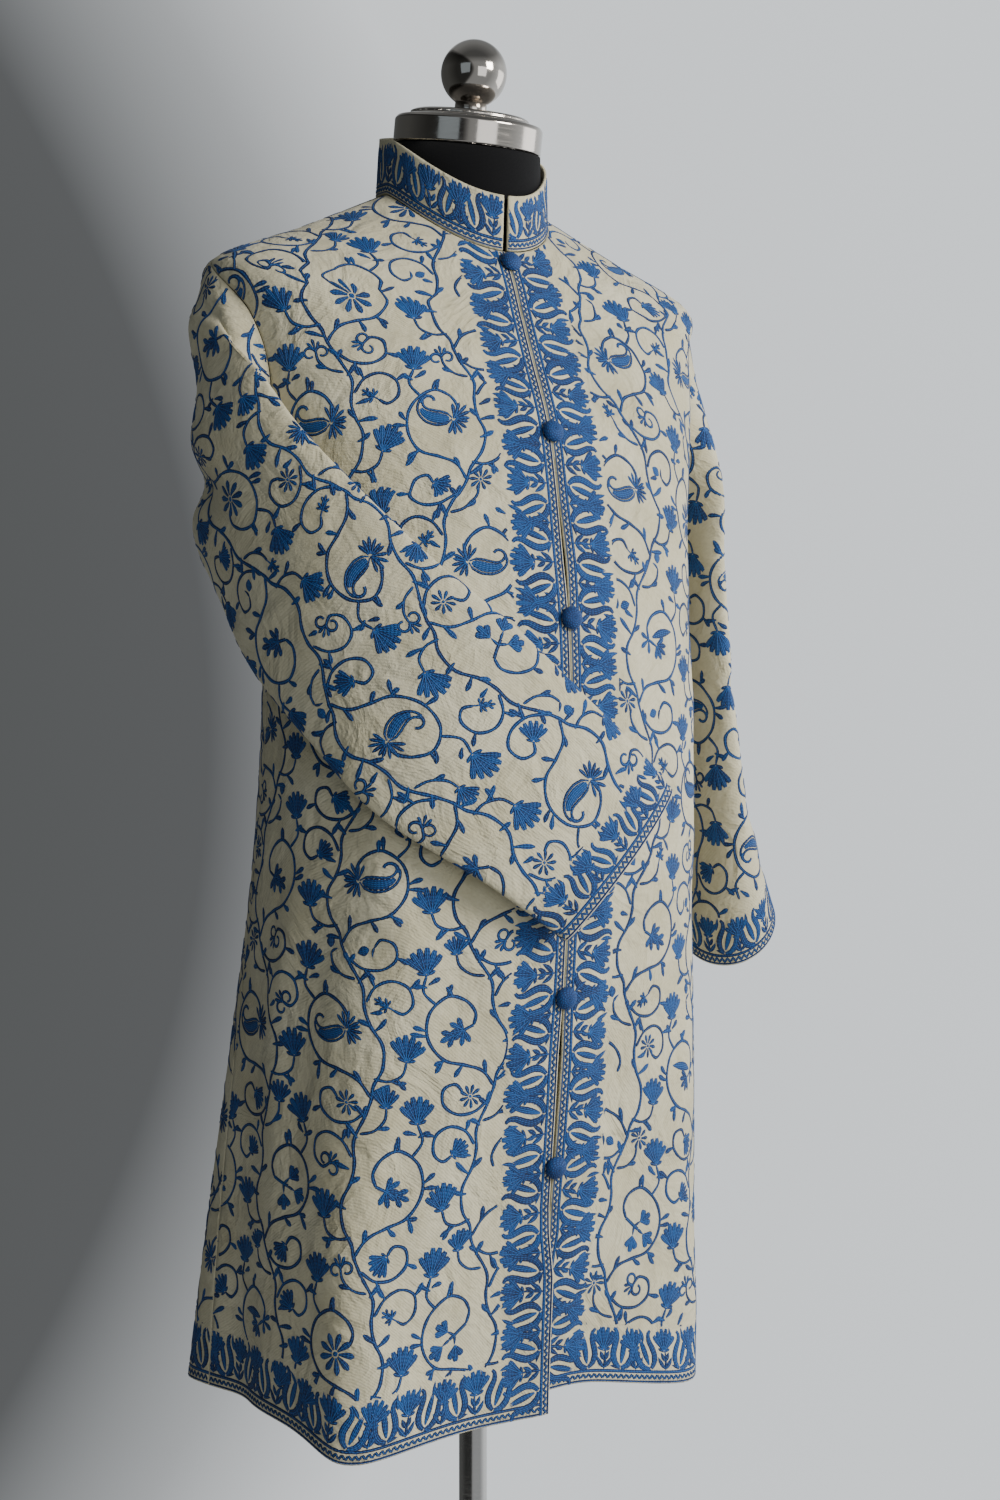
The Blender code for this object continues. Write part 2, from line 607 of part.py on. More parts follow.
def neck_cap():
    """Round steel cap with a raised middle, tilted forward on the neck."""
    top = CAP_HEIGHT + CAP_STEP_HEIGHT
    profile = [
        (0.0, 0.0), (CAP_RADIUS - CAP_EDGE, 0.0), (CAP_RADIUS, CAP_EDGE),
        (CAP_RADIUS, CAP_HEIGHT - CAP_EDGE), (CAP_RADIUS - CAP_EDGE, CAP_HEIGHT),
        (CAP_STEP_RADIUS + CAP_EDGE, CAP_HEIGHT + CAP_EDGE * 0.5), (CAP_STEP_RADIUS, top - CAP_EDGE),
        (CAP_STEP_RADIUS - CAP_EDGE, top), (0.0, top),
    ]
    tilt_with_cap(turned("neck_cap", profile, POLISHED_STEEL))


def tilt_with_cap(obj):
    """Stand an object on the neck's tilted top."""
    obj.location = (0.0, CAP_CENTRE_Y, CAP_CENTRE_Z)
    obj.rotation_euler = (math.radians(CAP_TILT_DEG), 0.0, 0.0)


def neck_ball():
    """Ball finial on a short stem that stands on the cap."""
    cap_top = CAP_HEIGHT + CAP_STEP_HEIGHT
    foot = cap_top + FRAME_CLEARANCE
    centre = cap_top + BALL_ABOVE_CAP
    join = math.asin(STEM_RADIUS / BALL_RADIUS)
    arc = np.linspace(join, math.pi, BALL_STEPS)
    profile = [(0.0, foot), (STEM_RADIUS, foot)]
    profile += [(BALL_RADIUS * math.sin(a), centre - BALL_RADIUS * math.cos(a)) for a in arc[:-1]]
    profile.append((0.0, centre + BALL_RADIUS))
    tilt_with_cap(turned("neck_ball", profile, POLISHED_STEEL, BALL_AROUND))


def stand():
    """Round base with its hub, and the pole from the hub to the form's underside."""
    rise = BASE_CROWN_HEIGHT - BASE_RIM_HEIGHT
    profile = [
        (0.0, 0.0), (BASE_RADIUS - CAP_EDGE, 0.0), (BASE_RADIUS, CAP_EDGE),
        (BASE_RADIUS, BASE_RIM_HEIGHT - CAP_EDGE), (BASE_RADIUS - CAP_EDGE, BASE_RIM_HEIGHT),
        (0.5 * BASE_RADIUS, BASE_RIM_HEIGHT + 0.8 * rise), (HUB_FOOT_RADIUS, BASE_CROWN_HEIGHT),
        (HUB_RADIUS, BASE_CROWN_HEIGHT + HUB_FOOT_HEIGHT), (HUB_RADIUS, HUB_HEIGHT - CAP_EDGE),
        (HUB_RADIUS - CAP_EDGE, HUB_HEIGHT), (0.0, HUB_HEIGHT),
    ]
    turned("stand_base", profile, POLISHED_STEEL, BASE_STEPS)
    pole = [
        (0.0, HUB_HEIGHT + FRAME_CLEARANCE), (POLE_RADIUS, HUB_HEIGHT + FRAME_CLEARANCE),
        (POLE_RADIUS, FORM_BOTTOM_Z - FRAME_CLEARANCE), (0.0, FORM_BOTTOM_Z - FRAME_CLEARANCE),
    ]
    turned("stand_pole", pole, POLISHED_STEEL, POLE_STEPS)


def buttons():
    """Covered domes on the left front, each standing on the cloth by its front edge."""
    for number, z in enumerate(BUTTON_HEIGHTS, 1):
        edge_x = column_against(EDGE_ROWS, "z", z, EDGE_COLUMNS, "left_x")
        row = row_at_height(0.0, z)
        half_width = smooth(BODY_ROWS, row)[BODY_COLUMNS.index("half_width")]
        angle = math.degrees((max(edge_x, 0.0) + BUTTON_OFF_EDGE) / half_width)
        row = row_at_height(angle, z)
        place = body_point(angle, row)
        out = body_normal(np.asarray(angle), np.asarray(row))
        arc = np.linspace(0.0, 0.5 * math.pi, 5)
        profile = [(0.0, 0.0), (BUTTON_RADIUS * BUTTON_FOOT, 0.0)]
        profile += [(BUTTON_RADIUS * math.cos(a), BUTTON_RIM + BUTTON_DOME * math.sin(a)) for a in arc[:-1]]
        profile.append((0.0, BUTTON_RIM + BUTTON_DOME))
        button = turned(f"button_{number}", profile, BLUE_THREAD, BUTTON_AROUND, 60.0)
        button.location = tuple(place + out * BUTTON_LIFT)
        tilt = math.atan2(math.hypot(out[0], out[1]), out[2])
        button.rotation_euler = (0.0, tilt, math.atan2(out[1], out[0]))


def main():
    for obj in list(bpy.data.objects):
        bpy.data.objects.remove(obj, do_unlink=True)
    front_panel("jacket_front_right", -1)
    front_panel("jacket_front_left", 1)
    back_panel()
    collar()
    sleeve("sleeve_right", -1, named(FOLDED_COLUMNS, FOLDED_ROWS), folded_section)
    sleeve("sleeve_left", 1, named(HANGING_COLUMNS, HANGING_ROWS), hanging_section)
    form_torso()
    neck_cap()
    neck_ball()
    stand()
    buttons()


main()
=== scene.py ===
"""A long woollen jacket with blue chain-stitch embroidery, buttoned on a dress form with a steel stand.

The sections follow the object as it is put together: room, stand, form, jacket body, collar, sleeves,
then the embroidery laid on each piece of cloth and the buttons. Metres, +Z up, the front faces -Y.
"""
import math

import bpy
import numpy as np
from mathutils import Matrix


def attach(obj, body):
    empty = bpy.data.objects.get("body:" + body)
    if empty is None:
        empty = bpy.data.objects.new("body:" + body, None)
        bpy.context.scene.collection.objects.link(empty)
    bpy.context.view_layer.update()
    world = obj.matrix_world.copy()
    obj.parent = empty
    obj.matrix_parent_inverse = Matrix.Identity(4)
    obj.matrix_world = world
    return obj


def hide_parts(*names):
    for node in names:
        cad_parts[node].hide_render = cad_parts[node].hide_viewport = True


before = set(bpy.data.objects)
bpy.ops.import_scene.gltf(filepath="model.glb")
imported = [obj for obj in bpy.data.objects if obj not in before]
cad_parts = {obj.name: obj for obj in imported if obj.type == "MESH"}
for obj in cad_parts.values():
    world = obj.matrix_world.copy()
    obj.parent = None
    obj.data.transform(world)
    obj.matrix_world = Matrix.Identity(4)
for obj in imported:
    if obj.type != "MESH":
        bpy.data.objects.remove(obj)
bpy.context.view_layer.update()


# ---------------------------------------------------------------- Room, camera and light
# A small pale floor, one large soft light from the camera's right, weaker ones from the front, side and
# left, and a pale surrounding, as in a photo studio. The camera stands level at chest height.
CAMERA_DISTANCE = 1.62
CAMERA_HEIGHT = 0.985
CAMERA_TURN_DEG = 28.0
PHOTO_SIZE = (1000, 1500)
PHOTO_SHIFT = (27.0, -10.0)

camera_data = bpy.data.cameras.new("camera")
camera_data.lens = 50.0
camera_data.sensor_width = 36.0
camera_data.shift_x = PHOTO_SHIFT[0] / PHOTO_SIZE[1]
camera_data.shift_y = PHOTO_SHIFT[1] / PHOTO_SIZE[1]
camera = bpy.data.objects.new("camera", camera_data)
camera_turn = math.radians(CAMERA_TURN_DEG)
camera.location = (
    -CAMERA_DISTANCE * math.sin(camera_turn), -CAMERA_DISTANCE * math.cos(camera_turn), CAMERA_HEIGHT,
)
camera.rotation_euler = (math.radians(90.0), 0.0, -camera_turn)
bpy.context.scene.collection.objects.link(camera)
bpy.context.scene.camera = camera


def soft_light(name, place, target, size, power, colour=(1.0, 1.0, 1.0)):
    """Square area light at a place, turned to face a target point."""
    data = bpy.data.lights.new(name, "AREA")
    data.shape = "SQUARE"
    data.size = size
    data.energy = power
    data.color = colour
    light = bpy.data.objects.new(name, data)
    light.location = place
    away = np.array(place) - np.array(target)
    light.rotation_euler = (
        math.atan2(math.hypot(away[0], away[1]), away[2]), 0.0, math.atan2(away[1], away[0]) + math.pi / 2.0,
    )
    bpy.context.scene.collection.objects.link(light)


soft_light("key", (1.55, -2.85, 2.30), (0.0, 0.0, 0.85), 1.3, 122.0, (1.0, 0.975, 0.93))
soft_light("fill", (-2.3, -1.5, 1.7), (0.0, 0.0, 1.0), 1.6, 3.6, (0.74, 0.88, 1.0))
soft_light("front", (0.1, -2.9, 1.1), (0.05, 0.0, 0.95), 1.6, 14.0, (0.97, 0.98, 1.0))
soft_light("side", (2.1, -0.3, 1.3), (0.1, 0.0, 1.0), 1.2, 10.0)


def node_maker(tree):
    """Three short calls for a node tree: feed inputs with values or sockets, add a node, do a sum."""
    def fill(socket, value):
        if isinstance(value, bpy.types.NodeSocket):
            tree.links.new(value, socket)
        else:
            socket.default_value = value

    def feed(node, **inputs):
        for key, value in inputs.items():
            fill(node.inputs[key.replace("_", " ")], value)
        return node

    def add(kind, out=None, settings=None, **inputs):
        node = tree.nodes.new("ShaderNode" + kind)
        for key, value in (settings or {}).items():
            setattr(node, key, value)
        feed(node, **inputs)
        return node.outputs[out] if out else node.outputs

    def sum_of(operation, *values):
        node = tree.nodes.new("ShaderNodeMath")
        node.operation = operation
        for socket, value in zip(node.inputs, values):
            fill(socket, value)
        return node.outputs["Value"]

    return feed, add, sum_of


def colour_ramp(add, part, stops):
    """Colour read at a part of the way along a ramp of stops, each a position and a colour."""
    colour = add("ValToRGB", "Color", Fac=part)
    elements = colour.node.color_ramp.elements
    for element, (position, tone) in zip((elements[0], elements[1]), (stops[0], stops[-1])):
        element.position = position
        element.color = (*tone, 1.0)
    for position, tone in stops[1:-1]:
        elements.new(position).color = (*tone, 1.0)
    return colour


# The surrounding is dark to the camera's left, bright to its right, and dimmer behind and overhead
SKY_TONES = ((0.29, 0.110), (0.44, 0.42), (0.59, 0.90))

world = bpy.data.worlds.new("studio")
world.use_nodes = True
bpy.context.scene.world = world
feed, add, sum_of = node_maker(world.node_tree)
sky = add("SeparateXYZ", Vector=add(
    "Mapping", "Vector", Vector=add("TexCoord", "Generated"), Rotation=(0.0, 0.0, camera_turn)))
sky_across = sum_of("MULTIPLY_ADD", sum_of("MULTIPLY", sky["Z"], sky["Z"]), 0.95, sky["X"])
sky_colour = colour_ramp(
    add, add("MapRange", "Result", Value=sky_across, From_Min=-0.30, From_Max=0.30),
    [(0.0, (0.095, 0.100, 0.100))] + [(place, (tone, tone * 1.04, tone * 1.07)) for place, tone in SKY_TONES]
    + [(1.0, (0.960, 1.010, 1.050))],
)
sky_ahead = add("MapRange", "Result", Value=sky["Y"], From_Min=-0.45, From_Max=0.25, To_Min=0.42)
sky_below = add("MapRange", "Result", Value=sky["Z"], From_Min=0.36, From_Max=0.70, To_Min=1.0, To_Max=0.30)
feed(world.node_tree.nodes["Background"], Strength=1.0, Color=add(
    "VectorMath", "Vector", {"operation": "SCALE"},
    Vector=sky_colour, Scale=sum_of("MULTIPLY", sky_ahead, sky_below)))


def new_material(name, **values):
    """Material whose shader has these values, with that shader and the short calls of its tree."""
    material = bpy.data.materials.new(name)
    material.use_nodes = True
    feed, add, sum_of = node_maker(material.node_tree)
    shader = feed(material.node_tree.nodes["Principled BSDF"], **values)
    return material, shader, feed, add, sum_of


def mesh_piece(name, points, faces, uv=None):
    """Mesh object from a point array and a face array (4 per row, or 3), with UVs per face corner."""
    mesh = bpy.data.meshes.new(name)
    faces = np.asarray(faces, np.int32)
    corners = faces.shape[1]
    mesh.vertices.add(len(points))
    mesh.vertices.foreach_set("co", np.ascontiguousarray(points, np.float32).ravel())
    mesh.loops.add(faces.size)
    mesh.loops.foreach_set("vertex_index", faces.ravel())
    mesh.polygons.add(len(faces))
    mesh.polygons.foreach_set("loop_start", np.arange(0, faces.size, corners, dtype=np.int32))
    mesh.polygons.foreach_set("use_smooth", np.ones(len(faces), bool))
    mesh.update(calc_edges=True)
    if uv is not None:
        layer = mesh.uv_layers.new(name="pattern")
        layer.data.foreach_set("uv", np.ascontiguousarray(uv[faces.ravel()], np.float32).ravel())
    mesh.validate()
    obj = bpy.data.objects.new(name, mesh)
    bpy.context.scene.collection.objects.link(obj)
    return obj


FLOOR_RADIUS = 0.90
FLOOR_Z = -0.0005
FLOOR_SIDES = 96

floor_corner = np.arange(FLOOR_SIDES)
floor_turn = floor_corner * 2.0 * math.pi / FLOOR_SIDES
floor_rim = np.stack([
    FLOOR_RADIUS * np.cos(floor_turn), FLOOR_RADIUS * np.sin(floor_turn), np.full(FLOOR_SIDES, FLOOR_Z),
], -1)
floor = mesh_piece(
    "floor", np.concatenate([floor_rim, [[0.0, 0.0, FLOOR_Z]]]),
    np.stack([floor_corner, np.roll(floor_corner, -1), np.full(FLOOR_SIDES, FLOOR_SIDES)], -1),
)
floor.data.materials.append(new_material("pale_floor", Base_Color=(0.62, 0.62, 0.61, 1.0), Roughness=0.7)[0])


# ---------------------------------------------------------------- Steel stand, neck cap and ball
# Bright plated steel: a turned round base with its hub, a straight tube, and the cap and ball that
# finish the form's neck. Faint rubbing marks and a little dust keep it from a perfect mirror.
def node_group(name, takes, gives):
    """Node group of float sockets: the group, what it is given, its end, and its tree's short calls."""
    group = bpy.data.node_groups.new(name, "ShaderNodeTree")
    for way, sockets in (("INPUT", takes), ("OUTPUT", gives)):
        for socket in sockets:
            group.interface.new_socket(socket, in_out=way, socket_type="NodeSocketFloat")
    start, end = group.nodes.new("NodeGroupInput"), group.nodes.new("NodeGroupOutput")
    return (group, start.outputs, end, *node_maker(group))


def worn_metal_group():
    """Mask of fine rubbing marks: stretched noise plus soft spots, as roughness and a small height."""
    group, given, end, feed, add, sum_of = node_group("rubbed_plate", ("Scale",), ("Roughness", "Height"))
    place = add("TexCoord", "Object")
    stretched = add("Mapping", "Vector", Vector=place, Scale=(1.0, 1.0, 14.0))
    marks = add("TexNoise", "Fac", Vector=stretched, Scale=given["Scale"], Detail=6.0, Roughness=0.6)
    spots = add("TexNoise", "Fac", Vector=place, Scale=22.0, Detail=3.0)
    feed(end, Height=marks, Roughness=add(
        "MapRange", "Result", Value=sum_of("MULTIPLY", marks, spots),
        From_Min=0.12, From_Max=0.45, To_Min=0.06, To_Max=0.24))
    return group


rubbed_plate = worn_metal_group()


def plated_steel(name, colour, scale, relief):
    """Bright metal whose roughness and faint relief come from the rubbing marks."""
    material, shader, feed, add, _ = new_material(name, Base_Color=(*colour, 1.0), Metallic=1.0)
    marks = add("Group", settings={"node_tree": rubbed_plate}, Scale=scale)
    feed(shader, Roughness=marks["Roughness"],
         Normal=add("Bump", "Normal", Strength=relief, Distance=0.0002, Height=marks["Height"]))
    return material


def dress_node(node, material):
    """Give a carried-over solid its material in every slot."""
    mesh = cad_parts[node].data
    mesh.materials.clear()
    mesh.materials.append(material)


def eased(profile, radius=0.0012):
    """Profile whose corners are rounded: a short even curve between points a radius away on each side."""
    corners = np.asarray(profile, float)
    line = [corners[0]]
    for before, corner, after in zip(corners[:-2], corners[1:-1], corners[2:]):
        back, ahead = before - corner, after - corner
        reach = min(radius, 0.4 * np.linalg.norm(back), 0.4 * np.linalg.norm(ahead))
        start = corner + back / np.linalg.norm(back) * reach
        end = corner + ahead / np.linalg.norm(ahead) * reach
        line.append(start + back / np.linalg.norm(back) * 0.0002)
        for part in np.linspace(0.0, 1.0, 6):
            line.append(start * (1 - part) ** 2 + corner * 2 * part * (1 - part) + end * part ** 2)
        line.append(end + ahead / np.linalg.norm(ahead) * 0.0002)
    line.append(corners[-1])
    return np.array(line)


def opened(grid):
    """A grid that goes all the way round, cut open: its first column is repeated at the end."""
    return np.concatenate([grid, grid[:, :1]], 1)


def grid_quads(number):
    """Quads between the neighbours in a grid of vertex numbers."""
    return np.stack([number[:-1, :-1], number[:-1, 1:], number[1:, 1:], number[1:, :-1]], -1).reshape(-1, 4)


def ring_faces(count, around):
    """Triangles between the rings of a closed form, and from each end ring to one middle point."""
    number = opened(np.arange(count * around).reshape(count, around))
    sides = grid_quads(number)
    middle = np.full(around, count * around)
    return np.concatenate([
        sides[:, [0, 1, 2]], sides[:, [0, 2, 3]],
        np.stack([middle, number[0, 1:], number[0, :-1]], -1),
        np.stack([middle + 1, number[-1, :-1], number[-1, 1:]], -1),
    ])


def turned_piece(name, profile, node, material, around, tilt_deg=0.0, place=(0.0, 0.0, 0.0)):
    """Turned part: a profile of radius and height carried round the Z axis, then tilted and placed."""
    turn = np.arange(around) * 2.0 * math.pi / around
    ring = profile[1:-1]
    points = np.stack([
        ring[:, :1] * np.cos(turn), ring[:, :1] * np.sin(turn), np.repeat(ring[:, 1:], around, 1),
    ], -1).reshape(-1, 3)
    points = np.concatenate([points, [(0.0, 0.0, profile[0, 1]), (0.0, 0.0, profile[-1, 1])]])
    c, s = math.cos(math.radians(tilt_deg)), math.sin(math.radians(tilt_deg))
    points = points @ np.array([[1.0, 0.0, 0.0], [0.0, c, s], [0.0, -s, c]]) + place
    piece = mesh_piece(name, points, ring_faces(len(ring), around))
    piece.data.materials.append(material)
    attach(piece, "root")
    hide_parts(node)
    return piece


BASE_PROFILE = (
    (0.0, 0.0), (0.1635, 0.0), (0.165, 0.0015), (0.165, 0.0065), (0.1635, 0.008), (0.0825, 0.0144),
    (0.036, 0.016), (0.024, 0.022), (0.024, 0.0505), (0.0225, 0.052), (0.0, 0.052),
)
POLE_PROFILE = ((0.0, 0.0523), (0.0109, 0.0523), (0.0109, 0.7497), (0.0, 0.7497))
CAP_PROFILE = (
    (0.0, 0.0), (0.0568, 0.0), (0.0580, 0.0014), (0.0580, 0.0186), (0.0560, 0.0214),
    (0.0480, 0.0222), (0.0465, 0.0236), (0.0465, 0.0254), (0.0440, 0.0270), (0.0, 0.0270),
)
CAP_TILT_DEG = 12.0
CAP_PLACE = (0.0, 0.0105, 1.4461)
BALL_RADIUS = 0.0257
STEM_RADIUS = 0.0125
STEM_FOOT = 0.0273
BALL_CENTRE = 0.0578

turned_piece("base_steel", eased(BASE_PROFILE), "stand_base",
             plated_steel("base_plate", (0.52, 0.50, 0.48), 40.0, 0.12), 128)
turned_piece("pole_steel", eased(POLE_PROFILE, 0.0004), "stand_pole",
             plated_steel("pole_plate", (0.58, 0.56, 0.54), 60.0, 0.08), 64)
cap_steel = plated_steel("cap_plate", (0.46, 0.425, 0.385), 70.0, 0.05)
turned_piece("cap_steel", eased(CAP_PROFILE, 0.0010), "neck_cap", cap_steel, 128, CAP_TILT_DEG, CAP_PLACE)
ball_turn = np.linspace(math.asin(STEM_RADIUS / BALL_RADIUS), math.pi, 48)
ball_profile = np.concatenate([
    [(0.0, STEM_FOOT), (STEM_RADIUS, STEM_FOOT), (STEM_RADIUS, STEM_FOOT + 0.003)],
    np.stack([BALL_RADIUS * np.sin(ball_turn), BALL_CENTRE - BALL_RADIUS * np.cos(ball_turn)], -1)[:-1],
    [(0.0, BALL_CENTRE + BALL_RADIUS)],
])
turned_piece("ball_steel", ball_profile, "neck_ball", cap_steel, 96, CAP_TILT_DEG, CAP_PLACE)


# ---------------------------------------------------------------- Dress form
# A padded torso under stretched black jersey, closed at the hips and finished by the cap at the
# neck. The knit shows as fine ribs running up it, with a little pilling.
def knit_group():
    """Fine ribs and loops: two sets of waves, one up the form and one round it, with noise."""
    group, given, end, feed, add, sum_of = node_group("fine_knit", ("Rib Count",), ("Height", "Wear"))
    place = add("TexCoord", "Object")
    ribs, loops = [add(
        "TexWave", "Fac", {"bands_direction": axis},
        Vector=place, Scale=given["Rib Count"], Distortion=0.6, Detail=1.0) for axis in ("X", "Z")]
    pills = add("TexNoise", "Fac", Vector=place, Scale=900.0, Detail=3.0)
    feed(end, Height=sum_of("ADD", sum_of("MULTIPLY", ribs, loops), pills),
         Wear=add("TexNoise", "Fac", Vector=place, Scale=9.0, Detail=4.0))
    return group


def jersey_material():
    """Matt black jersey, its colour a little uneven with wear and its relief from the knit."""
    material, shader, feed, add, _ = new_material(
        "black_jersey", Roughness=0.88, Specular_IOR_Level=0.15, Sheen_Weight=0.04)
    knit = add("Group", settings={"node_tree": knit_group()}, Rib_Count=330.0)
    feed(shader,
         Base_Color=colour_ramp(add, knit["Wear"], (
             (0.0, (0.0022, 0.0022, 0.0027)), (1.0, (0.0060, 0.0060, 0.0070)))),
         Normal=add("Bump", "Normal", Strength=0.35, Distance=0.0004, Height=knit["Height"]))
    return material


# The body's own sections, hem to neck: heights, half width and depths of a rounded rectangle
BODY_COLUMNS = (
    "side_z", "front_z", "back_z", "half_width", "side_y", "front", "back", "squareness", "fall",
)
BODY_ROWS = (
    (0.498, 0.497, 0.495, 0.195, 0.030, 0.108, 0.142, 2.40, 2.0),
    (0.620, 0.620, 0.620, 0.190, 0.026, 0.117, 0.136, 2.30, 2.0),
    (0.750, 0.750, 0.750, 0.182, 0.018, 0.133, 0.128, 2.25, 2.0),
    (0.880, 0.880, 0.880, 0.174, 0.006, 0.146, 0.120, 2.20, 2.0),
    (1.000, 1.000, 1.000, 0.169, -0.002, 0.150, 0.112, 2.20, 2.0),
    (1.090, 1.085, 1.090, 0.170, 0.000, 0.145, 0.110, 2.20, 2.0),
    (1.165, 1.155, 1.170, 0.176, 0.006, 0.132, 0.116, 2.20, 2.0),
    (1.240, 1.214, 1.250, 0.187, 0.014, 0.118, 0.121, 2.20, 2.0),
    (1.300, 1.264, 1.318, 0.198, 0.024, 0.095, 0.120, 2.15, 2.0),
    (1.341, 1.300, 1.362, 0.205, 0.030, 0.078, 0.112, 2.10, 2.0),
    (1.373, 1.329, 1.394, 0.136, 0.025, 0.065, 0.102, 2.05, 1.7),
    (1.405, 1.354, 1.420, 0.0665, 0.0190, 0.0515, 0.090, 2.00, 1.3),
)
SHOULDER_TIP_ROW = 9.0
NECK_ROW = 11.0
# The form's neck above the collar, by the same columns
NECK_ROWS = (
    (1.4150, 1.3700, 1.4300, 0.0590, 0.0120, 0.0470, 0.0720, 2.0, 1.3),
    (1.4300, 1.3980, 1.4430, 0.0572, 0.0090, 0.0480, 0.0660, 2.0, 1.2),
    (1.4452, 1.4330, 1.4572, 0.0566, 0.0085, 0.0480, 0.0650, 2.0, 1.0),
)
# Body row, how far inside it the form lies, and how much less than that at the form's sides
FORM_ROWS = (
    (2.0, 0.042, 0.0),
    (2.8, 0.024, 0.0),
    (3.6, 0.022, 0.0),
    (4.5, 0.026, 0.0),
    (5.5, 0.016, 0.0),
    (6.5, 0.010, 0.0),
    (7.5, 0.0085, 0.0),
    (8.5, 0.0070, 0.0),
    (9.2, 0.0060, 0.0010),
    (9.8, 0.0055, 0.0023),
    (10.4, 0.0050, 0.0021),
    (11.0, 0.0050, 0.0010),
)
FORM_SIDE_DEG = 25.0
FORM_BOTTOM_Z = 0.750


def smooth(rows, position):
    """Cubic curve through evenly numbered rows: each span's slopes are half its neighbours' difference."""
    table = np.asarray(rows, float)
    place = np.clip(np.asarray(position, float), 0.0, len(table) - 1.0)
    low = np.minimum(place.astype(int), len(table) - 2)
    part = (place - low)[..., None]
    before, start = table[np.maximum(low - 1, 0)], table[low]
    end, after = table[low + 1], table[np.minimum(low + 2, len(table) - 1)]
    square, cube = part * part, part * part * part
    return (
        (2 * cube - 3 * square + 1) * start + (cube - 2 * square + part) * 0.5 * (end - before)
        + (3 * square - 2 * cube) * end + (cube - square) * 0.5 * (after - start)
    )


def unit(vectors):
    """Vectors scaled to length one."""
    return vectors / np.maximum(np.linalg.norm(vectors, axis=-1, keepdims=True), 1e-12)


def section_point(values, angle_deg):
    """Superellipse at an angle from the centre front, whose height falls from side to front or back."""
    side_z, front_z, back_z, half_width, side_y, front, back, squareness, fall = np.moveaxis(values, -1, 0)
    s, c = np.sin(np.radians(angle_deg)), np.cos(np.radians(angle_deg))
    scale = (np.abs(s) ** squareness + np.abs(c) ** squareness) ** (-1.0 / squareness)
    depth = np.where(c > 0, front + side_y, back - side_y)
    z = side_z + (np.where(c > 0, front_z, back_z) - side_z) * np.abs(c) ** fall
    return np.stack(np.broadcast_arrays(half_width * s * scale, side_y - depth * c * scale, z), -1)


def form_rings(around=120):
    """Rings of the padded form: the body's sections drawn in by a clearance, then the neck's own."""
    angle = np.arange(around)[None, :] * 360.0 / around
    table = np.array(FORM_ROWS)
    rows = np.linspace(table[0, 0], NECK_ROW, 90)[:, None]
    inside = np.interp(rows, table[:, 0], table[:, 1])
    at_side = np.exp(-((np.abs(180.0 - angle) - 90.0) / FORM_SIDE_DEG) ** 2)
    inside = inside - np.interp(rows, table[:, 0], table[:, 2]) * at_side
    place = section_point(smooth(BODY_ROWS, rows[:, 0])[:, None], angle)
    across = np.roll(place, -1, 1) - np.roll(place, 1, 1)
    trunk = place - unit(np.cross(across, np.gradient(place, axis=0))) * inside[..., None]
    trunk[0, :, 2] = FORM_BOTTOM_Z
    neck = section_point(np.asarray(NECK_ROWS)[:, None, :], angle)
    return np.concatenate([trunk, neck])


form_points = form_rings()
form_cover = mesh_piece(
    "form_cover",
    np.concatenate([form_points.reshape(-1, 3), [form_points[0].mean(0)], [form_points[-1].mean(0)]]),
    ring_faces(*form_points.shape[:2]),
)
form_cover.data.materials.append(jersey_material())
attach(form_cover, "root")
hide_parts("form_torso")


# ---------------------------------------------------------------- Jacket body: fronts and back
# Three cut panels of thick milled wool, sewn at the sides and shoulders. Each is a thin shell on the
# body's own sections, with the skirt's long folds and soft creases pressed by hand and by the pose.
CLOTH = 0.0022
SEAM_GAP = 0.0004
UNDERARM_ROW = 6.0
ARMHOLE_FRONT_DEG = 20.0
ARMHOLE_BACK_DEG = 24.0
SEAM_SWING_DEG = 11.0
SEAM_SWING_ROWS = 3.5
# Long folds: angle at the hem and at the top, height of the top, depth, width and drop of the hem
FOLD_ROWS = (
    (-37.0, -46.0, 0.940, 0.038, 12.0, 0.018),
    (38.0, 50.0, 0.880, 0.016, 10.0, 0.006),
    (-17.0, -22.0, 0.760, -0.004, 12.0, 0.000),
    (12.0, 16.0, 0.700, -0.006, 12.0, -0.004),
    (70.0, 80.0, 0.860, -0.014, 11.0, 0.012),
    (98.0, 100.0, 0.880, 0.010, 12.0, 0.004),
    (-84.0, -88.0, 0.900, -0.010, 12.0, 0.000),
    (128.0, 126.0, 0.900, -0.011, 11.0, 0.000),
    (152.0, 148.0, 0.960, 0.014, 11.0, 0.005),
    (176.0, 176.0, 0.900, -0.010, 11.0, 0.000),
    (-158.0, -152.0, 0.940, 0.013, 11.0, 0.005),
    (-134.0, -130.0, 0.880, -0.010, 10.0, 0.000),
    (-116.0, -114.0, 0.900, 0.022, 12.0, 0.000),
)
FOLD_CREASE_DEG = 3.0
EDGE_COLUMNS = ("z", "right_x", "left_x", "right_lift")
EDGE_ROWS = (
    (0.480, 0.0060, -0.0050, 0.0034),
    (0.596, 0.0040, -0.0036, 0.0034),
    (0.626, -0.0006, 0.0006, 0.0031),
    (0.646, -0.0005, 0.0005, 0.0000),
    (0.755, -0.0016, 0.0016, 0.0000),
    (0.800, -0.0004, 0.0004, 0.0000),
    (1.072, -0.0004, 0.0004, 0.0000),
    (1.115, -0.0013, 0.0013, 0.0000),
    (1.160, -0.0004, 0.0004, 0.0000),
    (1.360, -0.0004, 0.0004, 0.0000),
)
LAP_WIDTH = 0.030
RIGHT_HEM_DROP = 0.008
LEFT_HEM_RISE = 0.008
HEM_SHIFT_WIDTH = 0.09
STEP_DEG = 0.5
STEP_ROWS = 0.02

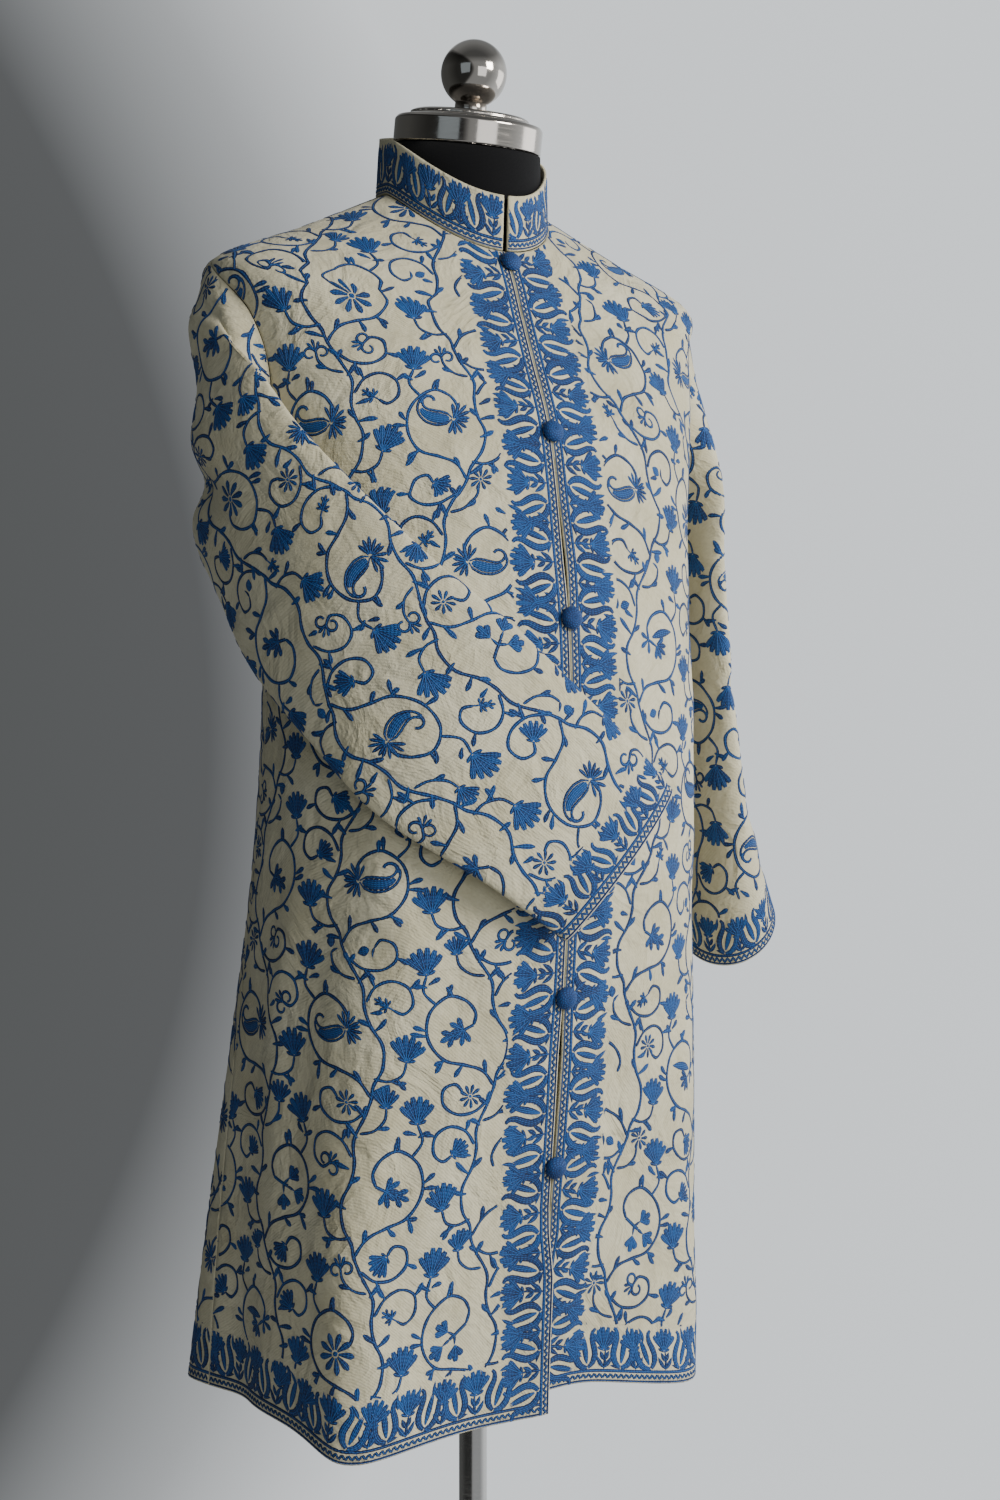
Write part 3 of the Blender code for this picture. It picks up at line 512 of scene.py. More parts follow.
# Soft creases of the body: from one angle and height to another, depth (in is below zero) and width.
# Across a crease, a degree round the body counts as this many metres.
DEGREE_WIDTH = 0.0030
BODY_CREASES = (
    (-22.0, 0.985, -12.0, 0.700, -0.0027, 0.016),
    (-48.0, 0.990, -31.0, 0.800, 0.0034, 0.014),
    (-56.0, 0.880, -50.0, 0.560, -0.0027, 0.018),
    (-28.0, 0.760, -24.0, 0.520, -0.0031, 0.014),
    (-70.0, 0.900, -62.0, 0.640, 0.0024, 0.016),
    (30.0, 1.130, 44.0, 0.860, -0.0024, 0.018),
    (24.0, 0.930, 27.0, 0.600, -0.0026, 0.015),
    (47.0, 0.800, 46.0, 0.520, 0.0027, 0.013),
    (58.0, 1.050, 62.0, 0.860, 0.0024, 0.016),
    (16.0, 1.240, 40.0, 1.180, -0.0012, 0.012),
    (34.0, 1.300, 60.0, 1.225, -0.0014, 0.012),
    (-30.0, 1.290, -58.0, 1.238, -0.0014, 0.011),
    (-42.0, 1.262, -62.0, 1.222, 0.0012, 0.009),
    (-14.0, 1.225, -40.0, 1.150, -0.0011, 0.014),
    (-20.0, 1.150, -38.0, 1.080, 0.0017, 0.012),
    (8.0, 0.640, 10.0, 0.520, 0.0020, 0.012),
    (112.0, 1.150, 128.0, 1.020, -0.0031, 0.016),
    (140.0, 1.250, 122.0, 1.130, -0.0016, 0.015),
    (-140.0, 1.250, -120.0, 1.130, -0.0017, 0.015),
    (-112.0, 1.160, -130.0, 1.030, -0.0031, 0.017),
    (165.0, 1.080, 150.0, 0.960, -0.0027, 0.018),
    (-165.0, 1.070, -148.0, 0.950, -0.0026, 0.018),
    (172.0, 0.900, 166.0, 0.600, 0.0027, 0.015),
    (-144.0, 0.860, -140.0, 0.560, -0.0027, 0.015),
    (138.0, 0.860, 140.0, 0.560, -0.0027, 0.015),
    (160.0, 1.330, 130.0, 1.320, -0.0012, 0.012),
    (-160.0, 1.330, -128.0, 1.318, -0.0013, 0.012),
)


def fold_shape(angle_deg, z):
    """Push of the long folds: a rounded tent across each, fading from the hem to its top."""
    out = np.zeros(np.broadcast(angle_deg, z).shape)
    drop = np.zeros_like(out)
    hem_z = BODY_ROWS[0][0]
    for hem_angle, top_angle, top_z, depth, width_deg, hem_drop in FOLD_ROWS:
        rise = np.clip((z - hem_z) / (top_z - hem_z), 0.0, 1.0)
        centre = hem_angle + (top_angle - hem_angle) * rise
        away = (angle_deg - centre + 180.0) % 360.0 - 180.0
        crease = FOLD_CREASE_DEG * (1.0 + 2.0 * rise)
        tent = (np.sqrt(away * away + crease * crease) - crease) / width_deg
        shape = np.exp(-tent ** 1.3)
        out += depth * shape * (1.0 - rise) ** 1.25
        drop += hem_drop * shape * np.clip(1.0 - rise * 3.0, 0.0, 1.0) ** 2
    return out, drop


def body_point(angle_deg, row):
    """Point of the jacket's outer surface: its section's point, pushed out and down by the folds."""
    angle_deg, row = np.broadcast_arrays(np.asarray(angle_deg, float), np.asarray(row, float))
    point = section_point(smooth(BODY_ROWS, row), angle_deg)
    out, drop = fold_shape(angle_deg, point[..., 2])
    flat = point[..., :2]
    point[..., :2] = flat * (1.0 + out / np.linalg.norm(flat, axis=-1))[..., None]
    point[..., 2] -= drop
    return point


def body_normal(angle_deg, row):
    """Outward direction of the jacket's surface: the cross of a short step across and one up."""
    across = body_point(angle_deg + STEP_DEG, row) - body_point(angle_deg - STEP_DEG, row)
    low = body_point(angle_deg, np.maximum(row - STEP_ROWS, 0.0))
    high = body_point(angle_deg, np.minimum(row + STEP_ROWS, NECK_ROW))
    return unit(np.cross(across, high - low))


def soft_step(part):
    """Even step from none to all of the way, level at both ends."""
    return part * part * (3.0 - 2.0 * part)


def crease_depth(angle_deg, z):
    """Sum of soft troughs and ridges: a bell across each line, fading towards the line's two ends."""
    depth = np.zeros(np.broadcast(angle_deg, z).shape)
    for start_angle, start_z, end_angle, end_z, press, width in BODY_CREASES:
        run = np.array([(end_angle - start_angle) * DEGREE_WIDTH, end_z - start_z])
        length = np.hypot(*run)
        from_angle = ((angle_deg - start_angle + 180.0) % 360.0 - 180.0) * DEGREE_WIDTH
        from_z = z - start_z
        along = (from_angle * run[0] + from_z * run[1]) / length ** 2
        bow = 0.10 * length * np.sin(math.pi * np.clip(along, 0.0, 1.0))
        across = (from_angle * run[1] - from_z * run[0]) / length - bow
        fade = np.clip(along * 3.0 + 0.35, 0.0, 1.0) * np.clip((1.0 - along) * 2.2 + 0.25, 0.0, 1.0)
        depth = depth + press * soft_step(fade) * np.exp(-(across / width) ** 2)
    return depth


def wall_faces(rows, columns, around=False):
    """Quads of an outer and an inner grid and the rims between them, all facing out of the cloth."""
    number = np.arange(rows * columns).reshape(rows, columns)
    if around:
        number = opened(number)
    layer = rows * columns
    outer = grid_quads(number)
    faces = [outer, outer[:, ::-1] + layer]
    j, k = number[0, :-1], number[0, 1:]
    faces.append(np.stack([j, layer + j, layer + k, k], -1))
    j, k = number[-1, :-1], number[-1, 1:]
    faces.append(np.stack([k, layer + k, layer + j, j], -1))
    if not around:
        j, k = number[:-1, 0], number[1:, 0]
        faces.append(np.stack([j, k, layer + k, layer + j], -1))
        j, k = number[:-1, -1], number[1:, -1]
        faces.append(np.stack([layer + j, layer + k, k, j], -1))
    return np.concatenate(faces)


def wool_group():
    """Milled wool: cloudy colour, rumples with pinched creases, and a faint twill under a short nap."""
    group, given, end, feed, add, sum_of = node_group(
        "milled_wool", ("Thread Count",), ("Cloud", "Rumple", "Height"))
    place = add("TexCoord", "Object")
    cloud = add("TexNoise", "Fac", Vector=place, Scale=16.0, Detail=5.0, Roughness=0.55)
    speck = add("TexNoise", "Fac", Vector=place, Scale=420.0, Detail=2.0)
    nap = add("TexNoise", "Fac", Vector=place, Scale=640.0, Detail=3.0, Roughness=0.65)
    rumple = add("TexNoise", "Fac", Vector=place, Scale=30.0, Detail=3.0, Roughness=0.45, Distortion=0.8)
    pinch = add("TexNoise", "Fac", Vector=place, Scale=19.0, Detail=4.0, Roughness=0.55, Distortion=1.2)
    warp = add("TexWave", "Fac", {"bands_direction": "DIAGONAL"},
               Vector=place, Scale=given["Thread Count"], Distortion=2.5, Detail=2.0)
    crease = sum_of("ABSOLUTE", sum_of("SUBTRACT", pinch, 0.5))
    feed(end, Cloud=sum_of("MULTIPLY_ADD", speck, 0.35, cloud),
         Rumple=sum_of("MULTIPLY_ADD", crease, -1.5, rumple), Height=sum_of("MULTIPLY_ADD", warp, 0.30, nap))
    return group


def wool_material(name, dark, light, relief):
    """Cream wool with a soft sheen, its colour and relief from the milled wool group."""
    material, shader, feed, add, _ = new_material(
        name, Roughness=0.92, Sheen_Weight=0.12, Sheen_Roughness=0.5)
    wool = add("Group", settings={"node_tree": wool_group()}, Thread_Count=260.0)
    rumpled = add("Bump", "Normal", Strength=1.0, Distance=0.0048, Height=wool["Rumple"])
    feed(shader, Base_Color=colour_ramp(add, wool["Cloud"], ((0.40, dark), (0.95, light))), Normal=add(
        "Bump", "Normal", Strength=relief, Distance=0.0006, Height=wool["Height"], Normal=rumpled))
    return material


cream_wool = wool_material("cream_wool", (0.520, 0.468, 0.296), (0.700, 0.652, 0.475), 0.60)


def sewn_cloth(name, node, grid, normals, around=False, flip=False):
    """Cloth piece as a closed thin wall: the outer grid, and the same grid one thickness further in."""
    points = np.concatenate([grid.reshape(-1, 3), (grid - normals * CLOTH).reshape(-1, 3)])
    faces = wall_faces(*grid.shape[:2], around)
    shell = mesh_piece(name + "_cloth", points, faces[:, ::-1] if flip else faces)
    shell.data.materials.append(cream_wool)
    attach(shell, "root")
    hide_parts(node)
    return shell


def panel_rows(count):
    """Body rows of a panel's shell, hem to neck, closer together where the fronts begin to lap."""
    return np.sort(np.concatenate([np.linspace(0.0, NECK_ROW, count), [0.98, 1.05, 1.20]]))


def side_seam_angle(row):
    """Angle of the side and shoulder seams: 90 degrees, and further back down the skirt."""
    part = np.clip((UNDERARM_ROW - row) / SEAM_SWING_ROWS, 0.0, 1.0)
    return 90.0 + SEAM_SWING_DEG * part * part * (3.0 - 2.0 * part)


def armhole_cut(row, depth_deg):
    """Degrees that the armhole takes from a panel: none at the underarm and the shoulder tip."""
    part = np.clip((row - UNDERARM_ROW) / (SHOULDER_TIP_ROW - UNDERARM_ROW), 0.0, 1.0)
    return depth_deg * np.sin(math.pi * part) ** 0.75


def half_width_at(rows):
    """Half width of the body at its rows."""
    return smooth(BODY_ROWS, rows)[..., BODY_COLUMNS.index("half_width")]


def edge_at(z, column):
    """Value of the table of the fronts' edges at a height."""
    table = np.array(EDGE_ROWS)
    return np.interp(z, table[:, 0], table[:, EDGE_COLUMNS.index(column)])


def creased_body(angle, row):
    """Body points and normals with the listed creases pressed in along the normals."""
    point = body_point(angle, row)
    normal = body_normal(angle, row)
    return point + normal * crease_depth(angle, point[..., 2])[..., None], normal


def front_panel(side, steps=(150, 76)):
    """Grid of one front, edge to side seam: body points between the edge table and the seam."""
    rows = panel_rows(steps[0])
    heights = section_point(smooth(BODY_ROWS, rows), 0.0)[:, 2]
    edge_x = edge_at(heights, "right_x" if side < 0 else "left_x")
    start = np.degrees(edge_x / half_width_at(rows))
    shift = np.degrees(0.5 * SEAM_GAP / half_width_at(rows))
    end = side * (side_seam_angle(rows) - armhole_cut(rows, ARMHOLE_FRONT_DEG) - shift)
    angle = start[:, None] + (end - start)[:, None] * np.linspace(0.0, 1.0, steps[1])
    points, normals = creased_body(angle, rows[:, None])
    hem_shift = RIGHT_HEM_DROP if side < 0 else -LEFT_HEM_RISE
    near_hem = np.clip(1.0 - rows, 0.0, 1.0)[:, None] ** 2
    points[..., 2] -= hem_shift * near_hem * np.exp(-(points[..., 0] / HEM_SHIFT_WIDTH) ** 2)
    if side < 0:
        away = np.clip((edge_x[:, None] - points[..., 0]) / LAP_WIDTH, 0.0, 1.0)
        points[..., 1] -= edge_at(heights, "right_lift")[:, None] * (1.0 - soft_step(away))
    return points, normals


def back_panel(steps=(150, 130)):
    """Grid of the back, from side seam to side seam round the body."""
    rows = panel_rows(steps[0])
    shift = np.degrees(0.5 * SEAM_GAP / half_width_at(rows))
    start = side_seam_angle(rows) + armhole_cut(rows, ARMHOLE_BACK_DEG) + shift
    angle = start[:, None] + (360.0 - 2.0 * start)[:, None] * np.linspace(0.0, 1.0, steps[1])
    return creased_body(angle, rows[:, None])


grids = {"front_right": front_panel(-1), "front_left": front_panel(1), "back": back_panel()}
for name in ("front_right", "front_left", "back"):
    sewn_cloth(name, "jacket_" + name, *grids[name], flip=name == "front_right")


# ---------------------------------------------------------------- Stand collar
# A straight band of the same wool, stiffened by its stitching, sewn round the neck seam and open at
# the centre front.
COLLAR_ROWS = (
    (1.4058, 1.3548, 1.4208, 0.0665, 0.0190, 0.0515, 0.0900, 2.0, 1.3),
    (1.4270, 1.3750, 1.4450, 0.0652, 0.0186, 0.0524, 0.0890, 2.0, 1.3),
    (1.4480, 1.3960, 1.4730, 0.0642, 0.0182, 0.0530, 0.0880, 2.0, 1.3),
)
COLLAR_OPENING = 0.0040


def grid_normals(points):
    """Outward normals of an open grid whose rows run up and columns towards the wearer's left."""
    return unit(np.cross(np.gradient(points, axis=1), np.gradient(points, axis=0)))


collar_gap = math.degrees(0.5 * COLLAR_OPENING / COLLAR_ROWS[0][BODY_COLUMNS.index("half_width")])
collar_angle = np.linspace(collar_gap, 360.0 - collar_gap, 161)[None, :]
collar_height = np.linspace(0.0, 2.0, 13)[:, None]
collar_grid = section_point(smooth(COLLAR_ROWS, collar_height), collar_angle)
collar_wave = 0.0005 * np.sin(np.radians(collar_angle * 5.0) + 1.3) * collar_height
collar_grid = collar_grid + grid_normals(collar_grid) * collar_wave[..., None]
grids["collar"] = (collar_grid, grid_normals(collar_grid))
sewn_cloth("collar", "jacket_collar", *grids["collar"])


# ---------------------------------------------------------------- Sleeves
# Two cut tubes of the same wool, sewn into the armholes. The right one lies flat across the front
# with its elbow out; the left one hangs. Both stay open at the cuff.

# Right sleeve: its upper edge as angle, height and lift off the body, its lower edge, depth and skew
FOLDED_ROWS = (
    (-71.0, 1.241, 0.003, -112.0, 1.227, 0.004, 0.019, 0.076),
    (-65.0, 1.226, 0.004, -116.0, 1.185, 0.006, 0.021, 0.060),
    (-58.0, 1.198, 0.005, -112.0, 1.142, 0.030, 0.022, 0.042),
    (-47.0, 1.157, 0.005, -101.0, 1.092, 0.019, 0.022, 0.022),
    (-33.0, 1.108, 0.005, -85.0, 1.036, 0.010, 0.021, 0.008),
    (-16.0, 1.062, 0.005, -62.0, 0.980, 0.008, 0.020, 0.000),
    (0.0, 1.018, 0.005, -45.0, 0.930, 0.007, 0.018, 0.000),
    (13.0, 0.983, 0.009, -22.0, 0.885, 0.008, 0.017, 0.000),
    (25.0, 0.950, 0.011, -4.0, 0.845, 0.011, 0.016, 0.000),
)
# Creases of a sleeve: from one turn round it to another, from one row to another, depth and width
FOLDED_CREASES = (
    (195.0, 95.0, 1.90, 3.60, 0.0140, 0.38),
    (120.0, 20.0, 0.50, 1.30, 0.0055, 0.40),
    (150.0, 60.0, 3.10, 3.70, 0.0022, 0.22),
    (60.0, 130.0, 4.60, 5.60, -0.0014, 0.30),
    (175.0, 110.0, 4.30, 4.60, 0.0024, 0.20),
    (30.0, 110.0, 6.30, 6.90, 0.0012, 0.26),
    (40.0, 100.0, 2.30, 2.90, 0.0014, 0.24),
    (250.0, 340.0, 3.00, 3.60, 0.0014, 0.30),
)
HANGING_CREASES = (
    (-60.0, 80.0, 4.10, 3.50, 0.0022, 0.22),
    (200.0, 60.0, 3.30, 3.90, 0.0020, 0.20),
    (20.0, 160.0, 2.50, 2.20, 0.0016, 0.20),
    (0.0, 120.0, 5.40, 5.00, 0.0018, 0.24),
    (210.0, 100.0, 4.90, 5.30, -0.0012, 0.24),
    (60.0, 170.0, 1.10, 0.90, 0.0014, 0.20),
    (100.0, -20.0, 6.10, 5.90, 0.0012, 0.20),
)
# Left sleeve: centre, half widths outwards and along the body, and how far two sides drop
HANGING_ROWS = (
    (0.2035, 0.030, 1.180, 0.0150, 0.0700, -0.030, -0.010),
    (0.2075, 0.030, 1.130, 0.0160, 0.0680, -0.008, 0.000),
    (0.2135, 0.030, 1.080, 0.0170, 0.0650, 0.000, 0.004),
    (0.2200, 0.028, 1.020, 0.0180, 0.0620, 0.000, 0.008),
    (0.2290, 0.026, 0.957, 0.0220, 0.0580, 0.000, 0.012),
    (0.2440, 0.024, 0.889, 0.0270, 0.0540, -0.010, 0.016),
    (0.2530, 0.020, 0.832, 0.0340, 0.0500, -0.026, 0.020),
)
SLEEVE_SEAM_GAP = 0.0011
UNDERARM_LIFT = 0.0008
SEAM_BLEND = 1.5
EDGE_FULLNESS = 0.6
CREASE_FADE_DEG = 25.0
ROW_READS = 265


def row_at_height(angle_deg, z):
    """Body row whose section passes through a height at an angle, read back along a fine table."""
    rows = np.linspace(0.0, NECK_ROW, ROW_READS)
    heights = section_point(smooth(BODY_ROWS, rows)[None], angle_deg.reshape(-1, 1))[..., 2]
    found = [np.interp(one, line, rows) for one, line in zip(z.ravel(), heights)]
    return np.array(found).reshape(z.shape)


def off_body(angle_deg, z, lift):
    """Point at an angle and height, off the body by lift: the row is read back from the height."""
    angle_deg, z = np.broadcast_arrays(np.asarray(angle_deg, float), np.asarray(z, float))
    row = row_at_height(angle_deg, z)
    return body_point(angle_deg, row) + body_normal(angle_deg, row) * np.asarray(lift)[..., None]


def armhole_loop(side, turns):
    """Armhole edge read at turns round the sleeve: up the front from the underarm, down the back."""
    part = (np.degrees(turns) + 90.0) % 360.0 / 180.0
    rising = part <= 1.0
    climb = np.where(rising, part, 2.0 - part)
    row = UNDERARM_ROW + (SHOULDER_TIP_ROW - UNDERARM_ROW) * climb
    cut = np.where(rising, -armhole_cut(row, ARMHOLE_FRONT_DEG), armhole_cut(row, ARMHOLE_BACK_DEG))
    angle = side * (90.0 + cut)
    return body_point(angle, row), body_normal(angle, row)


def folded_section(row, turn):
    """Section of the right sleeve over the front: a flattened tube between its two fold edges."""
    upper_angle, upper_z, upper_lift, lower_angle, lower_z, lower_lift, depth, skew = row
    part = 0.5 * (1.0 - np.cos(turn))
    outer = np.sin(turn)
    full = np.sign(outer) * np.abs(outer) ** EDGE_FULLNESS
    angle = upper_angle + (lower_angle - upper_angle) * part
    z = upper_z + (lower_z - upper_z) * part + skew * outer
    lift = upper_lift + (lower_lift - upper_lift) * part
    return off_body(angle, z, lift + depth * 0.5 * (1.0 + full))


def hanging_section(row, turn):
    """Section of the left sleeve: an ellipse with a tilted plane."""
    centre_x, centre_y, centre_z, half_out, half_along, outer_drop, front_drop = row
    out, along = np.sin(turn), np.cos(turn)
    return np.stack([
        centre_x + half_out * out, centre_y - half_along * along,
        centre_z - outer_drop * out - front_drop * along,
    ], -1)


def tube_normals(points):
    """Outward normals of a closed tube's grid, evened out with their neighbours along and round it."""
    across = (np.roll(points, -1, 1) - np.roll(points, 1, 1)) * 0.5
    normal = unit(np.cross(across, np.gradient(points, axis=0)))
    outside = np.sum(normal * (points - points.mean(axis=1, keepdims=True)))
    normal = normal * np.sign(outside)
    for _ in range(2):
        normal[1:-1] = 0.5 * normal[1:-1] + 0.25 * (normal[:-2] + normal[2:])
        normal = unit(0.5 * normal + 0.25 * (np.roll(normal, -1, 1) + np.roll(normal, 1, 1)))
    return normal


def sleeve_press(place, turn, creases):
    """Depth of a sleeve's creases: a bell across each line of places, fading at its two turns."""
    turn_deg = np.degrees(turn)[None, :]
    place = place[:, None]
    depth = np.zeros(np.broadcast(place, turn_deg).shape)
    for start_turn, end_turn, start_row, end_row, press, width_rows in creases:
        low, high = sorted((start_turn, end_turn))
        around = (turn_deg - low) % 360.0 + low
        part = np.clip((around - start_turn) / (end_turn - start_turn), 0.0, 1.0)
        line = start_row + (end_row - start_row) * part
        inside = np.clip((around - low) / CREASE_FADE_DEG, 0.0, 1.0)
        inside = inside * np.clip((high - around) / CREASE_FADE_DEG, 0.0, 1.0)
        depth += press * inside * np.exp(-((place - line) / width_rows) ** 2)
    return depth


def sleeve_grid(side, rows, section, creases, steps=(110, 96)):
    """Grid of a sleeve from armhole to cuff: a cubic through the loop and the table's sections."""
    turn = np.radians(-90.0 + 360.0 * np.arange(steps[1]) / steps[1])
    stations = np.array([section(row, turn) for row in rows])
    loop, loop_normals = armhole_loop(side, turn)
    first = smooth(np.concatenate([loop[None], stations]).reshape(len(rows) + 1, -1), 0.06)
    away = unit(first.reshape(loop.shape) - loop)
    folded_back = 0.5 - 0.5 * np.sin(turn)[:, None]
    start = loop + away * SLEEVE_SEAM_GAP + loop_normals * UNDERARM_LIFT * folded_back ** 2
    table = np.concatenate([start[None], stations])
    place = np.linspace(0.0, len(table) - 1.0, steps[0])
    points = smooth(table.reshape(len(table), -1), place).reshape(steps[0], len(turn), 3)
    points = points - tube_normals(points) * sleeve_press(place, turn, creases)[..., None]
    normals = tube_normals(points)
    with_body = np.clip(SEAM_BLEND * np.sum(normals[0] * loop_normals, -1, keepdims=True), 0.0, 1.0)
    normals[0] = unit(normals[0] * (1.0 - with_body) + loop_normals * with_body)
    return points, normals


for name, side, rows, section, creases in (
    ("sleeve_right", -1, FOLDED_ROWS, folded_section, FOLDED_CREASES),
    ("sleeve_left", 1, HANGING_ROWS, hanging_section, HANGING_CREASES),
):
    grid, normals = sleeve_grid(side, rows, section, creases)
    turned_in = np.sum(np.cross(np.roll(grid, -1, 1) - grid, np.gradient(grid, axis=0)) * normals) < 0
    sewn_cloth(name, name, grid, normals, around=True, flip=bool(turned_in))
    grids[name] = (opened(grid), opened(normals))


# ---------------------------------------------------------------- Cut patterns
# Every piece of cloth was cut flat and embroidered flat. Laying each grid flat again gives the size
# of its cut and the plane on which the stitching was drawn.
PINNED_COLUMNS = {"front_right": 0, "front_left": 0, "back": 65, "sleeve_right": 48, "sleeve_left": 48}


def run_lengths(points, axis=0):
    """Length run along one axis of a line or a grid of points, from zero at its start."""
    steps = np.linalg.norm(np.diff(points, axis=axis), axis=-1)
    return np.concatenate([np.zeros_like(steps.take([0], axis)), np.cumsum(steps, axis=axis)], axis)


def flat_pattern(points, pin, cells=(25, 32), passes=40):
    """Flat coordinates of a cloth grid: each cell keeps its own shape and turns, and all are fitted.

    In turn, every cell's shape is turned by the angle that fits its present corners best, and the
    corners are set to the places that lie closest to all the turned cells, by one linear system.
    """
    rows = np.unique(np.linspace(0, points.shape[0] - 1, cells[0] + 1).round().astype(int))
    columns = np.unique(np.linspace(0, points.shape[1] - 1, cells[1] + 1).round().astype(int))
    coarse = points[np.ix_(rows, columns)]
    number = np.arange(coarse.shape[0] * coarse.shape[1]).reshape(coarse.shape[:2])
    cell = grid_quads(number)
    corner = coarse.reshape(-1, 3)[cell]
    across = unit(corner[:, 1] + corner[:, 2] - corner[:, 0] - corner[:, 3])
    upward = np.cross(unit(np.cross(corner[:, 2] - corner[:, 0], corner[:, 3] - corner[:, 1])), across)
    centred = corner - corner.mean(1, keepdims=True)
    own = np.stack([np.einsum("ckx,cx->ck", centred, across), np.einsum("ckx,cx->ck", centred, upward)], -1)

    middle = int(np.argmin(np.abs(columns - pin)))
    along, width = run_lengths(coarse[:, middle]), run_lengths(coarse, 1)
    flat = np.stack([width - width[:, middle:middle + 1], np.broadcast_to(along[:, None], width.shape)], -1)
    flat = flat.reshape(-1, 2)

    system = np.zeros((len(flat), len(flat)))
    np.add.at(system, (cell[:, :, None], cell[:, None, :]), np.eye(4) - 0.25)
    system[0, 0] += 1.0
    solver = np.linalg.inv(system)
    held = flat[0].copy()
    for _ in range(passes):
        now = flat[cell] - flat[cell].mean(1, keepdims=True)
        turn = np.arctan2(
            np.sum(own[..., 0] * now[..., 1] - own[..., 1] * now[..., 0], 1), np.sum(own * now, (1, 2)))
        c, s = np.cos(turn)[:, None], np.sin(turn)[:, None]
        turned = np.stack([own[..., 0] * c - own[..., 1] * s, own[..., 0] * s + own[..., 1] * c], -1)
        target = np.zeros_like(flat)
        np.add.at(target, cell, turned)
        target[0] += held
        flat = solver @ target
    flat = flat.reshape(len(rows), len(columns), 2)
    rise = flat[-1, middle] - flat[0, middle]
    lean = math.atan2(rise[0], rise[1])
    c, s = math.cos(lean), math.sin(lean)
    flat = flat @ np.array([[c, s], [-s, c]])
    flat = flat - flat[0, middle]

    steps = np.linalg.norm(np.diff(points, axis=0), axis=-1).mean(1)
    height = np.concatenate([[0.0], np.cumsum(steps)])
    by_row = read_between(height, height[rows])
    by_column = read_between(np.arange(points.shape[1], dtype=float), columns.astype(float))
    return np.einsum("rp,pqx,cq->rcx", by_row, flat, by_column)


def read_between(places, marks):
    """Matrix that reads values known at the marks at every place, by straight lines between marks."""
    span = np.clip(np.searchsorted(marks, places, side="right") - 1, 0, len(marks) - 2)
    part = (places - marks[span]) / (marks[span + 1] - marks[span])
    matrix = np.zeros((len(places), len(marks)))
    matrix[np.arange(len(places)), span] = 1.0 - part
    matrix[np.arange(len(places)), span + 1] += part
    return matrix


def edge_pattern(points, edge):
    """Border coordinates of a grid: the length along one of its edges, and the distance in from it."""
    if edge == "last_row":
        return edge_pattern(points[::-1], "first_row")[::-1]
    if edge == "first_column":
        return edge_pattern(points.swapaxes(0, 1), "first_row").swapaxes(0, 1)
    inward = run_lengths(points)
    return np.stack([np.broadcast_to(run_lengths(points[0]), inward.shape), inward], -1)


SPARSE_STEP = 4
SEARCH_MARGIN = 0.02
SEARCH_CELL = 0.008
NEWTON_PACES = (1.0, 1.0, 1.0, 1.0, 0.7, 0.6, 0.6, 0.7, 0.8, 1.0)


def read_grid(field, place):
    """Values and the two slopes of a grid's field at fractional rows and columns, cell by cell."""
    low = np.clip(np.floor(place).astype(int), 0, np.array(field.shape[:2]) - 2)
    s, t = (place - low)[:, :1], (place - low)[:, 1:]
    i, j = low[:, 0], low[:, 1]
    a, b, c, d = field[i, j], field[i, j + 1], field[i + 1, j], field[i + 1, j + 1]
    down = (c - a) * (1.0 - t) + (d - b) * t
    right = (b - a) * (1.0 - s) + (d - c) * s
    return a * (1.0 - s) * (1.0 - t) + b * (1.0 - s) * t + c * s * (1.0 - t) + d * s * t, down, right


def grid_places(pattern, targets):
    """Fractional row and column of each target: the nearest grid point, then paced Newton steps."""
    sparse = pattern[::SPARSE_STEP, ::SPARSE_STEP]
    points = sparse.reshape(-1, 2)
    low = points.min(0) - SEARCH_MARGIN
    counts = ((points.max(0) + SEARCH_MARGIN - low) / SEARCH_CELL).astype(int) + 1
    nearest = np.zeros(counts, int)
    for column in range(counts[0]):
        x = low[0] + (column + 0.5) * SEARCH_CELL
        y = low[1] + (np.arange(counts[1]) + 0.5) * SEARCH_CELL
        nearest[column] = np.argmin((points[None, :, 0] - x) ** 2 + (points[None, :, 1] - y[:, None]) ** 2, 1)
    spot = np.clip(((targets - low) / SEARCH_CELL).astype(int), 0, counts - 1)
    found = nearest[spot[:, 0], spot[:, 1]]
    place = float(SPARSE_STEP) * np.stack([found // sparse.shape[1], found % sparse.shape[1]], -1)
    limits = np.array(pattern.shape[:2]) + 1.0
    for pace in NEWTON_PACES:
        value, down, right = read_grid(pattern, place)
        miss = targets - value
        area = down[:, 0] * right[:, 1] - down[:, 1] * right[:, 0]
        area = np.where(np.abs(area) < 1e-12, 1e-12, area)
        row_step = (miss[:, 0] * right[:, 1] - miss[:, 1] * right[:, 0]) / area
        column_step = (miss[:, 1] * down[:, 0] - miss[:, 0] * down[:, 1]) / area
        place = place + np.clip(np.stack([row_step, column_step], -1), -4.0, 4.0) * pace
        place = np.clip(place, -2.0, limits)
    value = read_grid(pattern, place)[0]
    return place, np.linalg.norm(targets - value, axis=-1)


patterns = {name: flat_pattern(grids[name][0], pin) for name, pin in PINNED_COLUMNS.items()}


# ---------------------------------------------------------------- Embroidery stitches and motifs
# Blue woollen thread worked in rows of chain stitch with a hooked needle. Each motif is drawn here as
# strokes, a line with a width, from its foot at the origin towards +X. Sizes are in millimetres.
THREAD_EDGE = -0.00004
THREAD_CROWN = 0.00050
VINE_STEP = 2.4


def left_of(line):
    """Unit vectors to the left of a line at each of its points."""
    run = np.gradient(line, axis=0)
    return unit(np.stack([-run[:, 1], run[:, 0]], -1))


